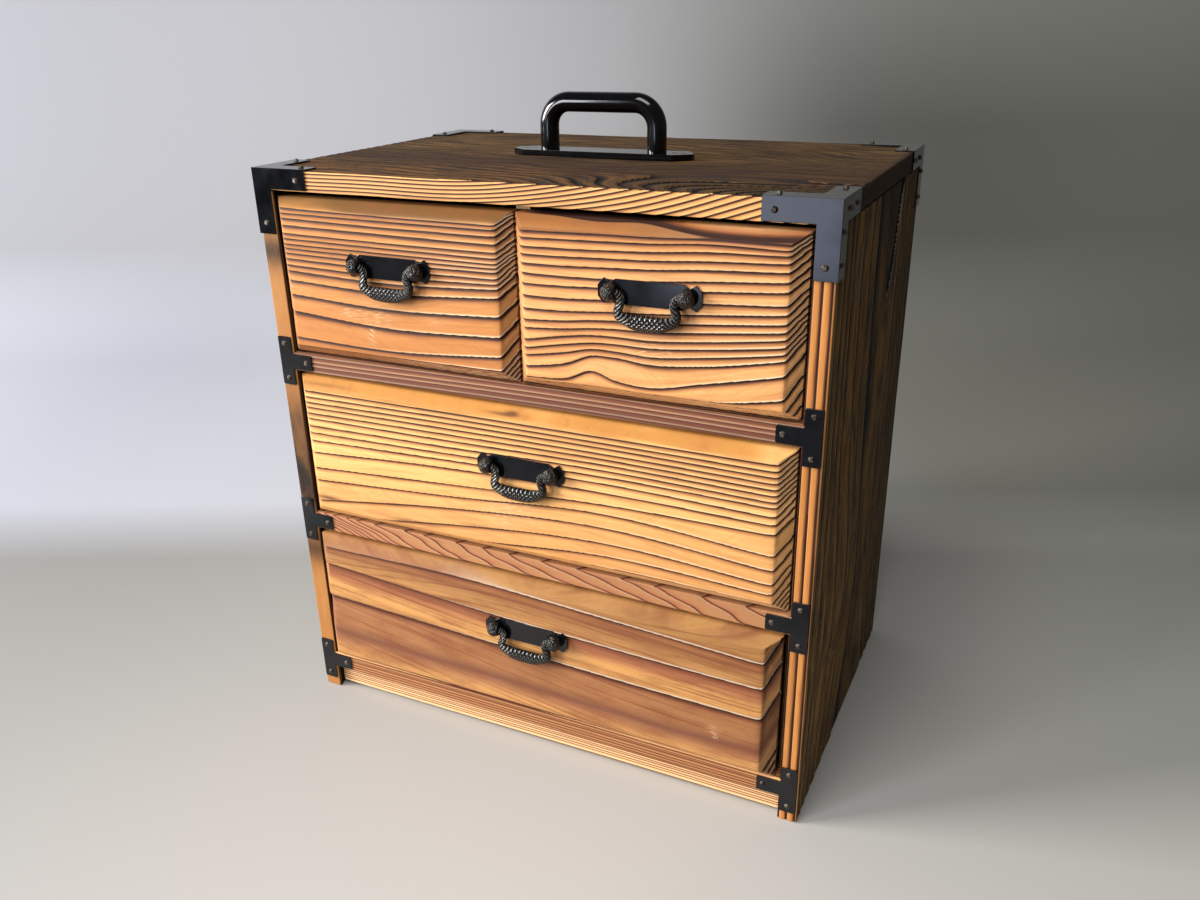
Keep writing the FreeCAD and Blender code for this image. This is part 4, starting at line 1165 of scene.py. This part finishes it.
def cast_relief(tree, in_mm):
    """Height of the casting, from 0 to 1: scales in the middle, ribs beside them, grit beyond."""
    axes = add(tree, "SeparateXYZ", (in_mm,)).outputs
    rise = add(tree, "Math", (axes["Z"], axes["Y"]), operation="SUBTRACT")
    out = add(tree, "Math", (axes["X"],), operation="ABSOLUTE")
    to_right = add(tree, "Math", (axes["X"], rise), operation="ADD")
    to_left = add(tree, "Math", (axes["X"], rise), operation="SUBTRACT")
    slanting = add(tree, "Math", (out, RIB_SLANT, rise), operation="MULTIPLY_ADD")
    waves = []
    for way, pitch_mm in ((to_right, SCALE_MM), (to_left, SCALE_MM), (slanting, RIB_MM)):
        angle = add(tree, "Math", (way, math.pi / pitch_mm), operation="MULTIPLY")
        swing = add(tree, "Math", (angle,), operation="SINE")
        waves.append(add(tree, "Math", (swing,), operation="ABSOLUTE"))
    scales = add(tree, "Math", waves[:2], operation="MINIMUM")
    grit = add(tree, "TexNoise", {"Vector": in_mm, "Scale": 1 / CAST_GRIT_MM, "Detail": 5.0,
                                  "Roughness": 0.7})
    middle = add(tree, "Math", (out, MIDDLE_REACH), operation="LESS_THAN")
    inner = add(tree, "Math", (out, SHOULDER_REACH), operation="LESS_THAN")
    shoulder = add(tree, "Math", (inner, middle), operation="SUBTRACT")
    beyond = add(tree, "Math", (1.0, inner), operation="SUBTRACT")
    relief = add(tree, "Math", (middle, scales), operation="MULTIPLY")
    relief = add(tree, "Math", (shoulder, waves[2], relief), operation="MULTIPLY_ADD")
    return add(tree, "Math", (grit, beyond, relief), operation="MULTIPLY_ADD")


def cast_iron(name, bail):
    """Cast black iron, with its pattern laid over the box of one bail."""
    material, tree = new_material(name)
    low, high = box_mm(bail)
    size = high - low
    spot = add(tree, "TexCoord").outputs["Generated"]
    in_mm = add(tree, "Mapping", {"Vector": spot, "Scale": tuple(size),
                                  "Location": tuple(-size / 2)})
    relief = cast_relief(tree, in_mm)
    # Only the highest ridges turn pale: a painted glint on scales and ribs.
    tone = add(tree, "ValToRGB", (relief,), [(0.4, "020202"), (0.82, "0A0A0A"), (1.0, "56544C")])
    bump = add(tree, "Bump", {"Height": relief, "Strength": 1.0,
                              "Distance": CAST_HEIGHT_MM * MM})
    shader = add(tree, "BsdfPrincipled", {"Base Color": tone, "Roughness": 0.24, "Normal": bump})
    add(tree, "OutputMaterial", {"Surface": shader})
    print("material", name, "over", np.round(size, 1).tolist(), "mm")
    return material


bail_iron = cast_iron("cast_iron_with_scales", "middle_bail")

# %% [markdown]
# ## Finish the ironwork
#
# Straps and plates keep a filed edge of a quarter of a millimetre, which draws the thin light line
# round each. Pulls and nails are round already and need none.

# %% Finish the ironwork

IRON_FINISHES = (("corner_strap", blackened_sheet, 0.25), ("tee_plate", blackened_sheet, 0.25),
                 ("pull_plate", blackened_sheet, 0.25), ("bail", bail_iron, 0.0),
                 ("pull_posts", post_iron, 0.0), ("nails", nail_metal, 0.0),
                 ("handle_screws", screw_metal, 0.0), ("handle_base", enamel, 0.4),
                 ("carry_handle", enamel, 0.0))
for ending, finish, arris_mm in IRON_FINISHES:
    nodes = [node for node in solids if node.endswith(ending)]
    for node in nodes:
        finish_solid(node, finish, arris_mm)
    print(len(nodes), ending, "in", finish.name)

# %% [markdown]
# ## Where the eye stands
#
# The eye looks at the chest from the front right and from a little above its top, so the fronts,
# the right side and the top all show. Its place and heading come first, because the floor and
# backdrop are laid square to it.

# %% Where the eye stands

HEADING, PITCH, ROLL = 25.50, -22.93, -1.01
EYE = Vector((0.3152, -0.5415 + FRONT * MM, 0.5072))
print("the eye is", round((EYE - Vector((0, FRONT * MM, 0.25))).length, 2), "m from the fronts")

# %% [markdown]
# ## Floor and backdrop
#
# The chest stands on a plain sweep of pale paper: a floor that starts to rise 1.6 m ahead of the
# eye and curves up into a backdrop with a radius of 0.6 m. A plane and a wall would show a line
# where they meet. Paper is matt: roughness 0.9 and little specular, or the lamps would glare on
# it.
#
# One even tone would come out too bright where the lamps are near. So light and shade are painted
# on the paper in simple ramps along its own axes, measured in metres from the eye: painted shade
# close to the eye, which also keeps the iron dark, painted shade beside the chest on the lamps'
# side, a painted light that fades to the right on the far floor and the wall, and a painted shadow
# of the chest low on the wall to its right.

# %% Paper of the sweep

# Each share runs from 0 to 1 between two places along an axis.
SWEEP_SHARES = {"across": ("X", -0.8, 0.8), "wide": ("X", -1.28, 1.28),
                "beside_lamps": ("X", -2.2, -0.9), "ahead": ("Y", -0.9, 0.98),
                "far_floor": ("Y", 0.93, 1.06), "on_wall": ("Z", 0.0, 0.12),
                "high_wall": ("Z", 0.3, 0.7)}
# These ramps are painted light and shade; the fourth is a painted shadow of the chest on the wall.
SWEEP_TONES = {
    "close": ("across", "EASE", [(0.1, "A8A8A6"), (0.5, "C8C6C2"), (0.9, "C0C0B8")]),
    "far": ("across", "EASE", [(0.0, "B2B6C2"), (0.4, "CACCD4"), (0.78, "84857E")]),
    "wall": ("wide", "EASE", [(0.0, "989AA2"), (0.4, "AEAFB4"), (0.8, "9A9B96")]),
    "painted_chest_shadow": ("wide", "EASE", [(0.5, "FFFFFF"), (0.72, "A8A8A6"), (1.0, "C8C8C6")]),
    "painted_shade_near_eye": ("ahead", "LINEAR", [(0.0, "3C3C3C"), (0.638, "949494"), (0.711, "FFFFFF"),
                                     (1.0, "DADADA")]),
    "painted_shade_near_lamps": ("beside_lamps", "LINEAR", [(0.0, "484848"), (1.0, "FFFFFF")])}


def pale_paper():
    """Matt paper with painted light and shade that change softly over the sweep."""
    material, tree = new_material("pale_paper")
    place = add(tree, "TexCoord").outputs["Object"]
    axes = add(tree, "SeparateXYZ", (place,)).outputs
    shares, tones = {}, {}
    for name, (axis, start, end) in SWEEP_SHARES.items():
        shares[name] = add(tree, "MapRange", {"Value": axes[axis], "From Min": start,
                                              "From Max": end})
    for name, (share, course, stops) in SWEEP_TONES.items():
        tones[name] = add(tree, "ValToRGB", (shares[share],), stops)
        tones[name].color_ramp.interpolation = course
    for name, tone, times in (("floor", "close", "painted_shade_near_eye"), ("floor", "floor", "painted_shade_near_lamps"),
                              ("low_wall", "wall", "painted_chest_shadow")):
        tones[name] = add(tree, "Mix", {0: 1.0, 6: tones[tone], 7: tones[times]},
                          data_type="RGBA", blend_type="MULTIPLY")
    for name, share, under, over in (("floor", "far_floor", "floor", "far"),
                                     ("wall", "high_wall", "low_wall", "wall"),
                                     ("paper", "on_wall", "floor", "wall")):
        tones[name] = add(tree, "Mix", {0: shares[share], 6: tones[under], 7: tones[over]},
                          data_type="RGBA")
    shader = add(tree, "BsdfPrincipled", {"Base Color": tones["paper"], "Roughness": 0.9,
                                          "Specular IOR Level": 0.15})
    add(tree, "OutputMaterial", {"Surface": shader})
    return material


paper = pale_paper()
print("material", paper.name, "from", len(SWEEP_TONES), "ramps")

# %% [markdown]
# ## Shape of the sweep
#
# The sweep is a strip of paper: one profile of floor, quarter circle and wall, drawn out to both
# sides.

# %% The sweep

CURVE_STEPS = 12


def backdrop(near, radius, height, half_width, behind):
    """A sweep square to the eye's heading that starts to rise near metres from it."""
    profile = [(-behind, 0.0), (near, 0.0)]
    for i in range(1, CURVE_STEPS + 1):
        turn = math.radians(90 * i / CURVE_STEPS)
        profile.append((near + radius * math.sin(turn), radius * (1 - math.cos(turn))))
    profile.append((near + radius, height))
    points = [(x, y, z) for y, z in profile for x in (-half_width, half_width)]
    faces = [(2 * i, 2 * i + 1, 2 * i + 3, 2 * i + 2) for i in range(len(profile) - 1)]
    mesh = bpy.data.meshes.new("backdrop")
    mesh.from_pydata(points, [], faces)
    mesh.polygons.foreach_set("use_smooth", [True] * len(mesh.polygons))
    mesh.materials.append(paper)
    floor = bpy.data.objects.new("backdrop", mesh)
    floor.location = (EYE.x, EYE.y, 0)
    floor.rotation_euler = (0, 0, math.radians(HEADING))
    bpy.context.scene.collection.objects.link(floor)
    print("a sweep of", len(faces), "strips,", 2 * half_width, "m wide and", height, "m high")


backdrop(near=1.6, radius=0.6, height=2.4, half_width=3.5, behind=2.5)

# %% [markdown]
# ## Lamps
#
# Five soft area lamps light the chest. The window stands far round to the left and grazes the
# fronts, which draws every ledge and leaves the right side in shade. The far window is tall and
# narrow and fills the fronts from the left of the eye. The low window is small, close and weak:
# its reflection is the bluish gleam in the straps and plates. The ceiling lamp lights the floor in
# front, which shows in the iron, and the side window keeps the left side and the back from going
# black. A picture of a room could light the chest as well, but single lamps can be placed one by
# one for what each has to show.

# %% Lamps

LAMPS = {  # name: (place, target, size in metres, watts, colour)
    "window": ((-2.45, -1.35, 1.0), (0.0, 0.05, 0.25), (1.2, 1.1), 142, "FFFAF4"),
    "far_window": ((-1.2, -2.0, 0.75), (0.0, 0.0, 0.45), (0.4, 0.9), 18, "F4F6FF"),
    "low_window": ((-0.09, -0.97, 0.27), (0.2, -0.12, 0.38), (0.26, 0.24), 0.85, "DCE4FF"),
    "ceiling": ((0.1, -1.2, 2.1), (0.25, -0.8, 0.0), (1.1, 1.1), 26, "FFFCF6"),
    "side_window": ((-1.9, 1.2, 0.95), (0.0, 0.1, 0.25), (0.9, 0.9), 24, "EEF2FF")}


def lamp(name, place, target, size, watts, colour):
    """A soft rectangular lamp at place that faces target."""
    light = bpy.data.lights.new(name, "AREA")
    light.shape = "RECTANGLE"
    light.size, light.size_y = size
    light.energy = watts
    light.color = linear(colour)[:3]
    holder = bpy.data.objects.new(name, light)
    holder.location = place
    holder.rotation_euler = (Vector(target) - Vector(place)).to_track_quat("-Z", "Y").to_euler()
    bpy.context.scene.collection.objects.link(holder)
    print("lamp", name, watts, "W")


for name, settings in LAMPS.items():
    lamp(name, *settings)

# %% [markdown]
# ## Sky
#
# A room is never quite dark away from its lamps. A weak, cool sky stands for the light that comes
# back from its walls and fills the shadows.

# %% Sky

SKY_COLOUR, SKY_STRENGTH = "D0D9E6", 0.14
world = bpy.data.worlds.new("sky")
bpy.context.scene.world = world
world.use_nodes = True
sky = world.node_tree.nodes["Background"].inputs
sky["Color"].default_value = linear(SKY_COLOUR)
sky["Strength"].default_value = SKY_STRENGTH
print("sky", SKY_COLOUR, "at", SKY_STRENGTH)

# %% [markdown]
# ## Camera
#
# The lens has 30.5 mm on a sensor 36 mm wide, a slightly wide view from less than a metre away.
# That nearness makes the chest's lines run together a little towards the back, as they do to
# someone who stands in front of it. The roll tips the picture by one degree.

# %% Camera

SENSOR_MM, LENS_MM = 36.0, 30.48
camera_data = bpy.data.cameras.new("camera")
camera_data.sensor_width = SENSOR_MM
camera_data.lens = LENS_MM
camera = bpy.data.objects.new("camera", camera_data)
camera.location = EYE
camera.rotation_euler = (Matrix.Rotation(math.radians(HEADING), 3, "Z")
                         @ Matrix.Rotation(math.radians(90 + PITCH), 3, "X")
                         @ Matrix.Rotation(math.radians(ROLL), 3, "Z")).to_euler()
bpy.context.scene.collection.objects.link(camera)
bpy.context.scene.camera = camera
bpy.context.scene.view_settings.view_transform = "Standard"
print("camera at", [round(value, 3) for value in EYE], "m, lens", LENS_MM, "mm")
